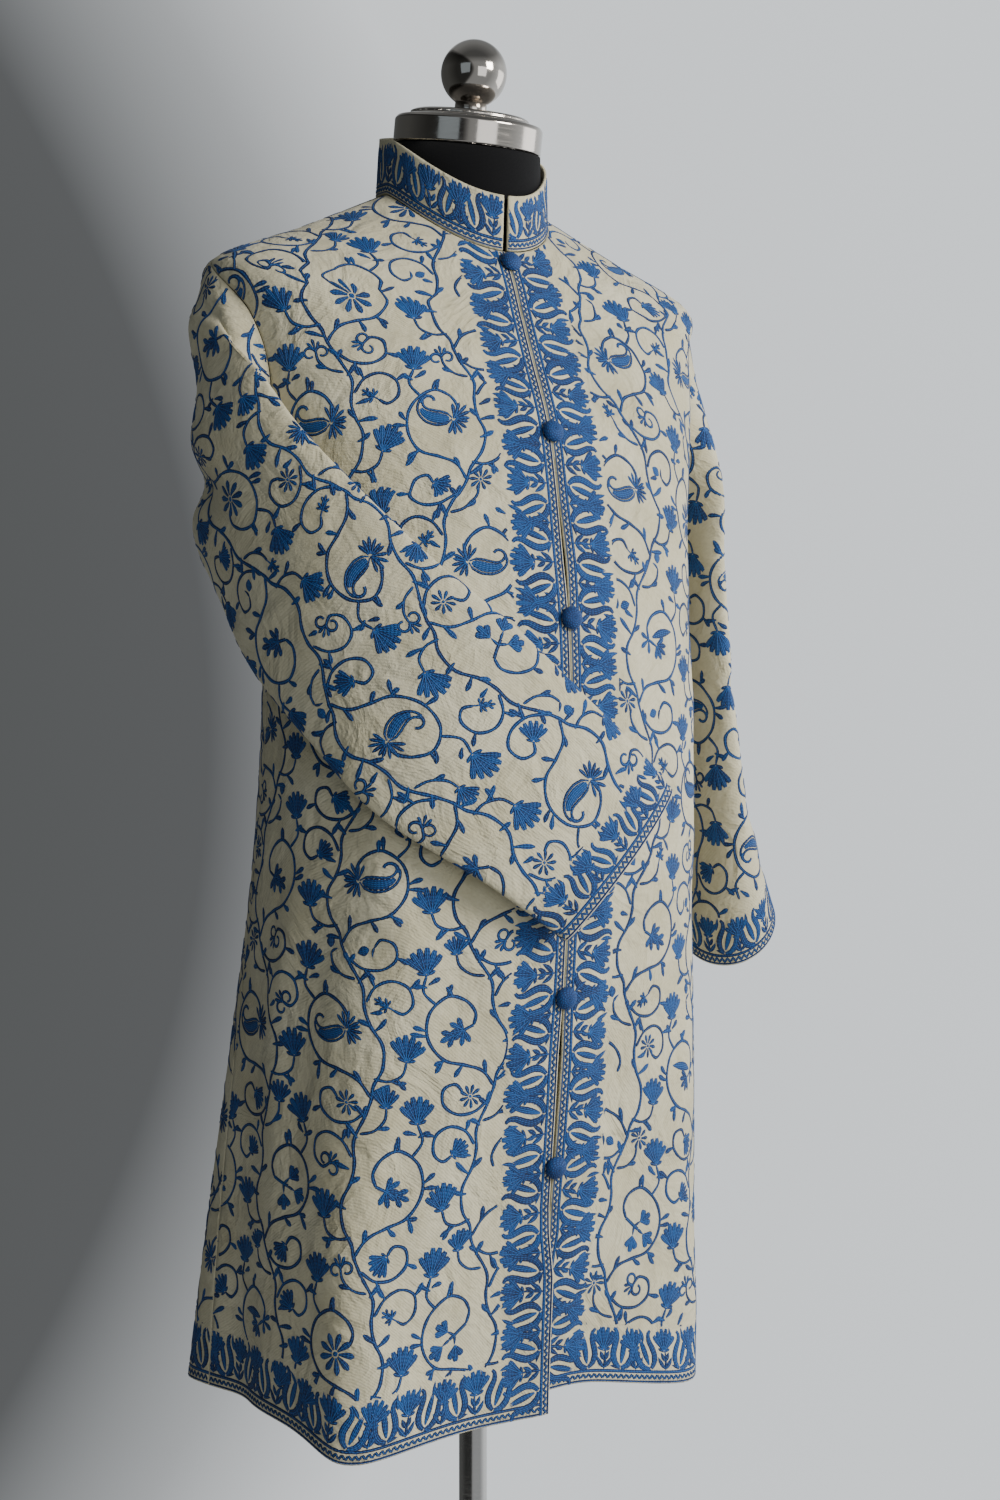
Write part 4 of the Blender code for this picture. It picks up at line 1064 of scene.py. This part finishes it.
def bent_line(length, bend_deg, count, start=0.0, curl=1.0):
    """Line of a length whose heading turns by bend in all, faster towards the tip as curl grows."""
    part = np.linspace(0.0, 1.0, count)
    heading = np.radians(bend_deg) * (0.5 * (part[1:] + part[:-1])) ** curl
    step = length / (count - 1)
    x = start + np.concatenate([[0.0], np.cumsum(np.cos(heading))]) * step
    y = np.concatenate([[0.0], np.cumsum(np.sin(heading))]) * step
    return np.stack([x, y], -1)


CLUB = np.array([0.34, 0.52, 0.70, 0.88, 1.00, 0.86, 0.30])
WEDGE = np.array([0.22, 0.42, 0.60, 0.78, 0.95, 1.00, 0.66])
LENS = np.array([0.18, 0.66, 0.94, 1.00, 0.86, 0.56, 0.10])
TAPER = np.array([0.50, 0.90, 1.00, 0.92, 0.74, 0.52, 0.20])


def petal(length, width, bend=0.0, start=0.0, form=CLUB, tone=0.5):
    """One short stroke: a line of seven points whose width follows the form."""
    return [(bent_line(length, bend, len(form), start), 0.5 * width * form, tone)]


def moved(strokes, x=0.0, y=0.0, heading=0.0, scale=1.0, flip=False):
    """Strokes scaled, mirrored if flipped, turned to a heading and shifted to a foot point."""
    c, s = math.cos(math.radians(heading)), math.sin(math.radians(heading))
    turn = np.array([[c, s], [-s, c]]) * scale
    mirror = np.array([1.0, -1.0 if flip else 1.0])
    return [((line * mirror) @ turn + (x, y), width * scale, tone) for line, width, tone in strokes]


def cluster(count, spread, length, width, start=1.0, form=CLUB, tone=0.5, droop=0.0):
    """Fingers spread evenly about +X, the outer ones a little shorter and bent outwards."""
    strokes = []
    for turn in np.linspace(-0.5, 0.5, count):
        reach = length * (1.0 - 0.30 * abs(turn))
        strokes += moved(petal(reach, width, droop * turn, start, form, tone), heading=spread * turn)
    return strokes


def fan(size=15.0):
    """Carnation in profile: a wedge of broad rays with a scalloped top and two small sepals."""
    strokes = cluster(6, 84.0, size, 0.245 * size, 1.2, WEDGE, 0.60)
    for turn in (-68.0, 68.0):
        strokes += moved(petal(0.36 * size, 0.15 * size), heading=turn)
    return strokes


def daisy(size=11.0, count=9):
    """Round flower: club-shaped fingers all the way round a small knot, its centre ahead of the foot."""
    strokes = []
    for turn in np.arange(count) * 360.0 / count:
        strokes += moved(petal(0.82 * size, 0.34 * size, 12.0, 0.20 * size), heading=turn + 10.0)
    strokes += petal(0.30 * size, 0.26 * size, start=-0.15 * size, form=LENS, tone=0.9)
    return [(line + (size * 0.85, 0.0), width, tone) for line, width, tone in strokes]


def paisley(length=43.0):
    """Curved drop with a hooked tip: two outer rows, a filling between them, and fingers at its foot."""
    part = np.linspace(0.0, 1.0, 22)
    spine = bent_line(length, 268.0, 22, 1.0, 2.6)
    side = left_of(spine)
    half = np.interp(
        part, (0.0, 0.08, 0.22, 0.38, 0.54, 0.70, 0.84, 1.0), (1.6, 4.6, 6.0, 5.6, 3.9, 2.1, 1.1, 0.9))
    half = half * length / 43.0
    body = part < 0.74
    rows = []
    for hand in (-1.0, 1.0):
        edge = spine + side * (hand * np.maximum(half - 1.05, 0.2))[:, None]
        width = np.where(part < 0.05, 0.6, 1.02)
        rows.append((edge[body], width[body], 0.45))
    inner = (part > 0.03) & (part < 0.60)
    rows.append((spine[inner], np.maximum(half - 2.15, 0.35)[inner], 0.70))
    tip = part > 0.64
    rows.append((spine[tip], np.interp(part, (0.64, 0.8, 1.0), (1.9, 1.25, 1.15))[tip], 0.45))
    strokes = rows + moved(cluster(5, 92.0, 11.5, 2.9, 1.5, droop=14.0), heading=128.0)
    return strokes + moved(cluster(5, 88.0, 11.0, 2.9, 1.5, droop=14.0), heading=-122.0)


def three_sprig(size=24.0):
    """Stem that parts into three little fans."""
    strokes = [(bent_line(0.50 * size, 6.0, 6), np.full(6, 1.05), 0.5)]
    for turn, x, reach in ((-62.0, 0.34, 0.24), (4.0, 0.50, 0.22), (66.0, 0.36, 0.24)):
        strokes += moved(petal(reach * size, 2.0, form=TAPER), x * size, 0.02 * size, turn)
        away = math.radians(turn)
        tip = (x * size + reach * size * math.cos(away), reach * size * math.sin(away))
        strokes += moved(cluster(3, 66.0, 0.38 * size, 0.175 * size, 0.0, WEDGE, 0.6), *tip, turn)
    return strokes


def seedling(size=24.0):
    """One tall lens leaf, a small crown of fingers beside it and a pair of leaves at the foot."""
    strokes = moved(petal(0.80 * size, 0.23 * size, -22.0, 0.16 * size, LENS, 0.6), heading=34.0)
    strokes += moved(cluster(5, 130.0, 0.36 * size, 0.140 * size, 0.6), 0.30 * size, -0.06 * size, -22.0)
    strokes += moved(petal(0.36 * size, 0.09 * size, form=TAPER), heading=-16.0)
    return strokes + moved(cluster(3, 110.0, 0.36 * size, 0.140 * size, 0.6), heading=-138.0)


def horns(size=10.0):
    """Small crown of three fingers between two curls that roll outwards."""
    strokes = cluster(3, 64.0, 0.80 * size, 0.30 * size, 0.2 * size)
    for flip in (False, True):
        curl = [(bent_line(2.1 * size, 285.0, 14, 0.0, 1.2), np.linspace(0.15, 0.10, 14) * size, 0.5)]
        strokes += moved(moved(curl, heading=28.0), flip=flip)
    return strokes


def bud(size=9.0):
    """Small round bud on a bent stalk."""
    strokes = petal(0.75 * size, 0.62 * size, 0.0, 0.34 * size, LENS, 0.6)
    return strokes + moved(petal(0.62 * size, 0.20 * size, 40.0, form=TAPER), heading=38.0)


def crown_sprig(size=22.0):
    """Straight stem with two side clusters and one at the tip."""
    strokes = [(bent_line(0.60 * size, -8.0, 6), np.full(6, 1.0), 0.5)]
    for x, turn in ((0.30, 52.0), (0.30, -56.0), (0.58, 0.0)):
        strokes += moved(cluster(3, 74.0, 0.42 * size, 0.165 * size, 0.4), x * size, 0.0, turn)
    return strokes


def tulip(height=28.0):
    """Open tulip in profile: a ribbed middle petal between two outer petals whose tips hook outwards."""
    strokes = []
    for turn, tone in ((-7.0, 0.45), (0.0, 0.85), (7.0, 0.45)):
        rib = petal(0.72 * height, 0.092 * height, -1.6 * turn, 0.14 * height, LENS, tone)
        strokes += moved(rib, heading=turn)
    outer = np.array([
        (0.03, 0.02), (0.12, 0.17), (0.30, 0.270), (0.52, 0.270), (0.72, 0.245), (0.88, 0.300), (0.93, 0.400),
    ]) * height
    line = smooth(outer, np.linspace(0.0, 6.0, 13))
    width = np.interp(
        np.linspace(0.0, 1.0, 13), (0.0, 0.25, 0.5, 0.8, 1.0), (0.050, 0.098, 0.094, 0.066, 0.038))
    sepal = petal(0.30 * height, 0.085 * height, -30.0, form=LENS, tone=0.25)
    for flip in (False, True):
        strokes += moved([(line, width * height, 0.42)], flip=flip)
        strokes += moved(sepal, heading=72.0, flip=flip)
    return strokes


TULIP_LEANS = (18.0, -16.0)
FAN_LEAVES = ((50.0, 0.02, 0.36), (-50.0, 0.02, 0.36), (38.0, 0.20, 0.25), (-38.0, 0.20, 0.25))


def border_flowers(start, length, foot, height, random, pitch=14.8):
    """Leaning tulips and fans in turn along a border, each on its foot, with a few leaves between them."""
    count = max(int(round(length / pitch)), 1)
    strokes = []
    for number in range(count):
        x = start + (number + 0.5) * length / count
        grown = height * random.uniform(0.93, 1.04)
        if number % 2 == 0:
            lean = 90.0 + TULIP_LEANS[number // 2 % 2] + random.uniform(-6.0, 6.0)
            strokes.append(moved(tulip(0.95 * grown), x, foot, lean))
        else:
            lean = 90.0 + random.uniform(-14.0, 14.0)
            stalk = petal(0.52 * grown, 0.085 * height, 16.0, form=TAPER, tone=0.3)
            strokes.append(moved(stalk, x, foot, lean))
            strokes.append(moved(fan(0.56 * grown), x - 0.03 * height, foot + 0.44 * grown, lean + 6.0))
            for turn, rise, reach in FAN_LEAVES:
                leaf = petal(reach * height, 0.120 * height, -turn * 0.5, form=LENS, tone=0.35)
                strokes.append(moved(leaf, x, foot + rise * height, 90.0 + turn))
        between = x + 0.5 * length / count
        leaf = petal(0.36 * height, 0.105 * height, random.uniform(-40.0, 40.0), form=LENS, tone=0.6)
        strokes.append(moved(leaf, between, foot + 0.66 * height, random.uniform(60.0, 120.0)))
    return strokes


def edge_band(start, length, inner, width):
    """Narrow band: a wave between two fine lines, drawn along the edge."""
    strokes = []
    for away in (inner, inner + width):
        x = np.linspace(start, start + length, max(int(length / 3.0), 2))
        strokes.append([(np.stack([x, np.full(len(x), away)], -1), np.full(len(x), 1.30), 0.50)])
    x = np.arange(start, start + length, 1.2)
    wave = (inner + 0.5 * width) + 0.22 * width * (np.abs((x / 4.8 * 4.0) % 4.0 - 2.0) - 1.0)
    strokes.append([(np.stack([x, wave], -1), np.full(len(x), 1.10), 0.50)])
    return strokes


# ---------------------------------------------------------------- All-over vine
# A scrolling vine with paisleys, daisies, sprigs and carnations fills each panel. One repeat is drawn,
# turned over from row to row, and its motifs change from place to place.
REPEAT = (92.0, 108.0)
VINE_LINES = (
    (1.42, ((46, 0), (40, 12), (37, 22), (29, 34), (27, 50), (34, 64), (37, 77), (37, 92), (46, 108))),
    (1.34, ((40, 14), (48, 26), (61, 32), (77, 38), (87, 54), (84, 73), (70, 84), (57, 80), (50, 70),
            (52, 61))),
    (1.26, ((36, 27), (26, 25), (16, 29), (12, 38))),
    (1.30, ((35, 81), (28, 92), (16, 97), (5, 92), (3, 80), (10, 73), (17, 76))),
    (1.24, ((79, 79), (87, 89), (84, 101))),
    (1.30, ((45, 4), (56, -3), (70, -3), (80, 5), (79, 16), (70, 19), (65, 13))),
    (1.20, ((42, 97), (52, 99), (60, 106), (62, 114))),
)
VINE_LEAVES = (
    (39, 17, 166, 11), (45, 22, 78, 10), (32, 60, 152, 12), (32, 62, 40, 10), (33, 73, 165, 8),
    (40, 94, 128, 10), (87, 56, 12, 10), (77, 38, -62, 11), (62, 33, -48, 9), (70, 84, 108, 9),
    (24, 25, 205, 10), (20, 27, 250, 8), (5, 91, 150, 9), (28, 92, 62, 8), (80, 6, -14, 9), (57, -3, -70, 10),
    (84, 92, 20, 8), (83, 94, 150, 8), (54, 100, 20, 8), (88, 60, 32, 8), (66, 83, 78, 8), (31, 46, 170, 9),
    (76, 37, -20, 8), (45, 108, 60, 9), (47, 107, 118, 9),
)
LARGE_MOTIFS = (
    (paisley, -14.0, 1.08), (three_sprig, -30.0, 1.25), (paisley, -28.0, 1.02), (daisy, -35.0, 1.32),
    (paisley, -6.0, 1.10), (seedling, -8.0, 1.25), (crown_sprig, -24.0, 1.25),
)
SMALL_MOTIFS = ((daisy, 0.80), (fan, 0.92), (horns, 0.95), (bud, 1.35), (fan, 1.00), (crown_sprig, 0.66))


def vine_line(points, half_width):
    """Smooth line through control points, read every few millimetres, with tapered ends."""
    table = np.asarray(points, float)
    length = np.linalg.norm(np.diff(table, axis=0), axis=1).sum()
    part = np.linspace(0.0, 1.0, max(int(length / VINE_STEP), 4))
    line = smooth(table, part * (len(table) - 1.0))
    width = half_width * (1.0 + 0.10 * np.sin(part * length * 0.45))
    width[[0, -1]] *= 0.6
    return [(line, width, 0.45)]


def vine_repeat(column, row, random):
    """Strokes of one repeat, as a list of motifs, the lines first, for its column and row."""
    motifs = [vine_line(points, half_width) for half_width, points in VINE_LINES]
    for x, y, heading, reach in VINE_LEAVES:
        if random.uniform() < 0.92:
            bend = random.uniform(-34.0, 34.0)
            leaf = petal(reach * random.uniform(1.0, 1.35), 4.1, bend, tone=random.uniform(0.3, 0.6))
            motifs.append(moved(leaf, x, y, heading + random.uniform(-9.0, 9.0)))
    make, heading, scale = LARGE_MOTIFS[(2 * column + 3 * row + random.integers(0, 2)) % len(LARGE_MOTIFS)]
    motifs.append(moved(make(), 52, 61, heading + random.uniform(-7.0, 7.0), scale))
    motifs.append(moved(fan(19.5), 12, 38, 98.0 + random.uniform(-12.0, 12.0)))
    motifs.append(moved(fan(20.0), 84, 101, 96.0 + random.uniform(-12.0, 12.0)))
    for x, y, turn in ((17, 76, 40.0), (65, 13, 215.0), (62, 114, 84.0)):
        make, scale = SMALL_MOTIFS[random.integers(0, len(SMALL_MOTIFS))]
        motifs.append(moved(make(), x, y, turn + random.uniform(-15.0, 15.0), scale))
    placed = []
    for motif in motifs:
        strokes = []
        for line, width, tone in motif:
            if row % 2 == 1:
                line = np.stack([REPEAT[0] - line[:, 0], line[:, 1]], -1)
            line = line + (column * REPEAT[0], row * REPEAT[1])
            sway = np.stack([
                5.0 * np.sin(line[:, 1] / 47.0 + 0.9) + 3.0 * np.sin(line[:, 0] / 61.0 + line[:, 1] / 83.0),
                4.0 * np.sin(line[:, 0] / 39.0 + 2.1) + 3.0 * np.sin(line[:, 1] / 71.0 - line[:, 0] / 57.0),
            ], -1)
            strokes.append((line + sway, width, tone))
        placed.append(strokes)
    return placed


def all_over(pattern, shift, random):
    """Repeats of the vine over the whole of a flat pattern, as a list of motifs in millimetres."""
    marks = pattern.reshape(-1, 2) * 1000.0
    edge_low, edge_high = marks.min(0), marks.max(0)
    first = np.floor((edge_low - shift) / REPEAT).astype(int) - 1
    last = np.ceil((edge_high - shift) / REPEAT).astype(int) + 1
    motifs = []
    for column in range(first[0], last[0]):
        for row in range(first[1], last[1]):
            for motif in vine_repeat(column, row, random):
                marks = np.concatenate([line for line, width, tone in motif]) + shift
                if np.all(marks.max(0) > edge_low) and np.all(marks.min(0) < edge_high):
                    motifs.append([(line + shift, width, tone) for line, width, tone in motif])
    return motifs


# ---------------------------------------------------------------- Stitching laid on the cloth
# The strokes are carried from the flat patterns to the hanging cloth and stand a little proud of it
# as rounded cords of thread. Borders run along the fronts, hem, cuffs and collar.
WIDE_STROKE = 1.7
LIFT_SPREAD = 0.00008
MISS_LIMIT = 0.0006
CROSSING_LIMIT = 0.10


def ribbons(motifs, random):
    """Rounded ribbons of all strokes in pattern coordinates: across each, height falls to its sides, and the
    tone carries painted shade at the sides and a painted highlight along the middle.
    """
    places, heights, marks, tones_and_shade, owners, faces, wholes = [], [], [], [], [], [], 0
    for owner, motif in enumerate(motifs):
        for line, half_width, tone in motif:
            lanes = np.linspace(-1.0, 1.0, 5 if half_width.max() > WIDE_STROKE else 3)
            across = half_width[:, None] * lanes
            place = line[:, None] + left_of(line)[:, None] * across[..., None]
            crown = THREAD_CROWN * np.sqrt(half_width / half_width.max())[:, None]
            crown = crown * (1.0 - np.abs(lanes) ** 2.4)
            lift = THREAD_EDGE + random.uniform(0.0, LIFT_SPREAD)
            length = run_lengths(line) + random.uniform(0.0, 9.0)
            shape = place.shape[:2]
            faces.append(grid_quads(wholes + np.arange(across.size).reshape(shape)))
            places.append(place.reshape(-1, 2))
            heights.append((lift + crown).ravel())
            marks.append(np.stack([across, np.broadcast_to(length[:, None], shape)], -1).reshape(-1, 2))
            # Tone of each point: the stroke's thread tone with a random change, plus painted shade along the
            # ribbon's sides and a painted highlight along its middle, stronger on wider strokes
            rim = min(0.6 * half_width.max(), 1.0)
            shade = tone + random.uniform(-0.20, 0.20) + rim * (0.26 - 0.62 * lanes ** 2)
            tones_and_shade.append(np.broadcast_to(np.clip(shade, 0.0, 1.0), shape).ravel())
            owners.append(np.full(across.size, owner if len(motif) > 1 else -1))
            wholes += across.size
    return [np.concatenate(part) for part in (places, heights, marks, tones_and_shade, owners, faces)]


def laid_on(points, normals, pattern, motifs, random, keep_out=()):
    """Ribbons carried to the cloth. A motif of several strokes that meets a border is left out whole."""
    places, heights, marks, tones_and_shade, owners, faces = ribbons(motifs, random)
    spots, miss = grid_places(pattern, places * 0.001)
    limits = np.array(points.shape[:2]) - 1.0
    bad = (miss > MISS_LIMIT) | np.any((spots < 0.0) | (spots > limits), axis=1)
    barred = np.zeros(len(bad), bool)
    for field, width in keep_out:
        barred |= read_grid(field[..., None], spots)[0][:, 0] < width
    own = owners >= 0
    count = np.maximum(np.bincount(owners[own], minlength=len(motifs)), 1)
    crossing = np.bincount(owners[own], weights=barred[own], minlength=len(motifs)) / count
    bad = bad | np.where(own, (crossing > CROSSING_LIMIT)[owners], barred)
    kept = faces[~bad[faces].any(1)]
    used, renumbered = np.unique(kept, return_inverse=True)
    kept = renumbered.reshape(kept.shape)
    spots = spots[used]
    normal = unit(read_grid(normals, spots)[0])
    place = read_grid(points, spots)[0] + normal * heights[used][:, None]
    facing = np.cross(place[kept[:, 1]] - place[kept[:, 0]], place[kept[:, 3]] - place[kept[:, 0]])
    turned_in = np.sum(facing * normal[kept[:, 0]], 1) < 0.0
    kept[turned_in] = kept[turned_in][:, ::-1]
    return place, kept, marks[used] * 0.001, tones_and_shade[used]


def embroidery(name, layers, material):
    """One piece from several laid layers, with the stitch map as its UVs and the thread tone, painted shade
    included, kept.
    """
    starts = np.cumsum([0] + [len(layer[0]) for layer in layers[:-1]])
    faces = np.concatenate([layer[1] + start for layer, start in zip(layers, starts)])
    points, _, marks, tones_and_shade = (np.concatenate(part) for part in zip(*layers))
    piece = mesh_piece(name, points, faces, marks)
    tone = piece.data.attributes.new("thread_tone", "FLOAT", "POINT")
    tone.data.foreach_set("value", tones_and_shade.astype(np.float32))
    piece.data.materials.append(material)
    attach(piece, "root")
    return piece


def chain_stitch_group():
    """Chain stitch on a stitch map: rows side by side of V-shaped links, as height and shade; the shade is
    painted shade in the hollows and a painted highlight on the crowns.
    """
    group, given, end, feed, add, sum_of = node_group(
        "chain_stitch", ("Row Width", "Link Length"), ("Height", "Shade"))
    axes = add("SeparateXYZ", Vector=add("UVMap", "UV", {"uv_map": "pattern"}))
    row = sum_of("FRACT", sum_of("ADD", sum_of("DIVIDE", axes["X"], given["Row Width"]), 0.5))
    off_centre = sum_of("MULTIPLY", sum_of("ABSOLUTE", sum_of("SUBTRACT", row, 0.5)), 2.0)
    link = sum_of("DIVIDE", axes["Y"], given["Link Length"])
    link = sum_of("FRACT", sum_of("MULTIPLY_ADD", off_centre, -0.45, link))
    link = sum_of("SINE", sum_of("MULTIPLY", link, math.pi))
    round_row = sum_of("SUBTRACT", 1.0, sum_of("POWER", off_centre, 3.0))
    height = sum_of("MULTIPLY", round_row, sum_of("MULTIPLY_ADD", link, 0.45, 0.55))
    fuzz = add("TexNoise", "Fac", Vector=add("TexCoord", "Object"), Scale=1500.0, Detail=2.0, Roughness=0.6)
    # Shade: random fibre fuzz, plus painted shade in the low parts of the stitches and a painted highlight on
    # their crowns
    feed(end, Height=sum_of("MULTIPLY_ADD", fuzz, 0.35, height),
         Shade=sum_of("MULTIPLY_ADD", fuzz, 0.45, sum_of("MULTIPLY", height, 0.95)))
    return group


def thread_material(name, row_width, link_length, relief):
    """Blue thread: painted shade deep in the hollows between stitches, a painted highlight on their crowns,
    its dye uneven.
    """
    material, shader, feed, add, sum_of = new_material(
        name, Roughness=0.68, Sheen_Weight=0.05, Sheen_Roughness=0.4)
    stitch = add("Group", settings={"node_tree": chain_stitch_group()},
                 Row_Width=row_width, Link_Length=link_length)
    # The attribute holds the thread's tone together with the painted shade along each ribbon's sides
    tone = add("Attribute", "Fac", {"attribute_name": "thread_tone"})
    dye = add("TexNoise", "Fac", Vector=add("TexCoord", "Object"), Scale=75.0, Detail=3.0)
    # Colour position: uneven dye, the thread tone with its painted rim shade, and the stitch's painted shade
    # in the hollows and painted highlight on the crowns
    shade = sum_of("MULTIPLY_ADD", dye, 0.45, sum_of("MULTIPLY_ADD", tone, 0.78, stitch["Shade"]))
    # The ramp runs from deep blue (painted shade) through mid blue to light blue (painted highlight)
    feed(shader,
         Base_Color=colour_ramp(add, sum_of("MULTIPLY", shade, 0.49), (
             (0.45, (0.0007, 0.008, 0.042)), (0.67, (0.0006, 0.025, 0.130)), (0.90, (0.006, 0.100, 0.345)))),
         Normal=add("Bump", "Normal", Strength=relief, Distance=0.0006, Height=stitch["Height"]))
    return material


chain_thread = thread_material("chain_thread", 0.0014, 0.0026, 1.0)

# Widths of the edge bands and of the whole borders, in millimetres
FRONT_BAND = 7.0
FRONT_BORDER = 41.0
HEM_BAND = 9.0
HEM_BORDER = 43.0
CUFF_BORDER = 38.5

needle = np.random.default_rng(11)
for name, side in (("front_right", -1), ("front_left", 1)):
    grid, normals = grids[name]
    hem, front = edge_pattern(grid, "first_row"), edge_pattern(grid, "first_column")
    front_length = front[-1, 0, 0] * 1000.0
    hem_length = hem[0, -1, 0] * 1000.0
    fields = ((hem[..., 1], 0.001 * (HEM_BORDER + 0.5)), (front[..., 1], 0.001 * (FRONT_BORDER + 0.5)))
    vine = all_over(patterns[name], np.array((9.0, 20.0 if side < 0 else 66.0)), needle)
    hem_strokes = edge_band(FRONT_BAND + 1.0, hem_length, 1.0, HEM_BAND - 1.0)
    hem_strokes += border_flowers(
        FRONT_BORDER - 2.0, hem_length - FRONT_BORDER + 20.0, HEM_BAND + 1.6, 32.0, needle)
    front_strokes = edge_band(0.5, front_length - 1.0, 0.9, FRONT_BAND - 0.9)
    front_strokes += border_flowers(
        HEM_BAND + 3.0, front_length - HEM_BAND - 4.0, FRONT_BAND + 1.4, 32.5, needle)
    embroidery("embroidery_" + name, [
        laid_on(grid, normals, patterns[name], vine, needle, fields),
        laid_on(grid, normals, hem, hem_strokes, needle, ((front[..., 1], 0.001 * FRONT_BAND),)),
        laid_on(grid, normals, front, front_strokes, needle),
    ], chain_thread)

grid, normals = grids["back"]
hem = edge_pattern(grid, "first_row")
hem_length = hem[0, -1, 0] * 1000.0
back_strokes = edge_band(0.0, hem_length, 1.0, HEM_BAND - 1.0)
back_strokes += border_flowers(2.0, hem_length - 4.0, HEM_BAND + 1.6, 32.0, needle)
vine = all_over(patterns["back"], np.array((-4.0, 40.0)), needle)
embroidery("embroidery_back", [
    laid_on(grid, normals, patterns["back"], vine, needle, ((hem[..., 1], 0.001 * (HEM_BORDER + 0.5)),)),
    laid_on(grid, normals, hem, back_strokes, needle),
], chain_thread)

for name, shift in (("sleeve_right", (30.0, 12.0)), ("sleeve_left", (8.0, 60.0))):
    grid, normals = grids[name]
    cuff = edge_pattern(grid, "last_row")
    cuff_length = cuff[-1, -1, 0] * 1000.0
    cuff_strokes = edge_band(0.0, cuff_length, 0.9, FRONT_BAND)
    cuff_strokes += border_flowers(0.0, cuff_length, FRONT_BAND + 2.2, 29.0, needle)
    vine = all_over(patterns[name], np.array(shift), needle)
    embroidery("embroidery_" + name, [
        laid_on(grid, normals, patterns[name], vine, needle, ((cuff[..., 1], 0.001 * CUFF_BORDER),)),
        laid_on(grid, normals, cuff, cuff_strokes, needle),
    ], chain_thread)

collar_edge = edge_pattern(collar_grid, "first_row")
collar_length = collar_edge[0, -1, 0] * 1000.0
collar_strokes = edge_band(0.5, collar_length - 1.0, 1.2, 6.6)
collar_strokes += border_flowers(2.0, collar_length - 4.0, 9.0, 31.0, needle, 13.4)
embroidery("embroidery_collar", [
    laid_on(*grids["collar"], collar_edge, collar_strokes, needle),
], chain_thread)


# ---------------------------------------------------------------- Buttons
# Round domes covered in blue thread, sewn by the left front's edge. The domes stay the built solids;
# the thread that covers them is wound on in one spiral from the rim to the middle.
BUTTON_HEIGHTS = (1.3440, 1.2086, 1.0720, 0.9364, 0.7998, 0.6752)
BUTTON_RADIUS = 0.0080
BUTTON_DOME = 0.0058
BUTTON_RIM = 0.0012
BUTTON_OFF_EDGE = 0.0006
BUTTON_LIFT = 0.0006
WINDING_TURNS = 7.0
WINDING_STEPS = 34
WINDING_EDGE = 0.00012
WINDING_CROWN = 0.00034
WINDING_HALF_WIDTH = 0.00055
WINDING_STEP_LENGTH = 0.0011
WINDING_TONE = 0.38


def wound_thread(centre, out):
    """Spiral of thread on a dome: its angle up the dome grows evenly with its turns."""
    across = unit(np.cross(out, (0.0, 0.0, 1.0)))
    up = np.cross(across, out)
    part = np.linspace(0.0, 1.0, int(WINDING_TURNS * WINDING_STEPS))[:, None]
    lanes = np.array([-1.0, 0.0, 1.0])
    climb = np.clip(0.5 * math.pi * (part + lanes * 0.5 / WINDING_TURNS), 0.0, 0.5 * math.pi)
    turn = 2.0 * math.pi * WINDING_TURNS * part
    proud = WINDING_EDGE + WINDING_CROWN * (1.0 - lanes ** 2)
    radius = (BUTTON_RADIUS + proud) * np.cos(climb)
    height = BUTTON_RIM + (BUTTON_DOME + proud) * np.sin(climb)
    points = (
        centre + (radius * np.cos(turn))[..., None] * across + (radius * np.sin(turn))[..., None] * up
        + height[..., None] * out
    )
    length = np.cumsum(np.full(len(part), WINDING_STEP_LENGTH))[:, None] + 0.0 * lanes
    marks = np.stack([np.broadcast_to(lanes * WINDING_HALF_WIDTH, points.shape[:2]), length], -1)
    number = np.arange(points.shape[0] * 3).reshape(-1, 3)
    faces = grid_quads(number)[:, [0, 3, 2, 1]]
    return points.reshape(-1, 3), faces, marks.reshape(-1, 2), np.full(number.size, WINDING_TONE)


windings = []
for number, z in enumerate(BUTTON_HEIGHTS, 1):
    edge_x = max(float(edge_at(z, "left_x")), 0.0)
    half_width = half_width_at(row_at_height(np.zeros(1), np.array([z])))[0]
    angle = np.degrees(np.array([(edge_x + BUTTON_OFF_EDGE) / half_width]))
    row = row_at_height(angle, np.array([z]))
    out = body_normal(angle, row)[0]
    windings.append(wound_thread(body_point(angle, row)[0] + out * BUTTON_LIFT, out))
    dress_node(f"button_{number}", chain_thread)
embroidery("button_windings", windings, chain_thread)


patterns["collar"] = collar_edge
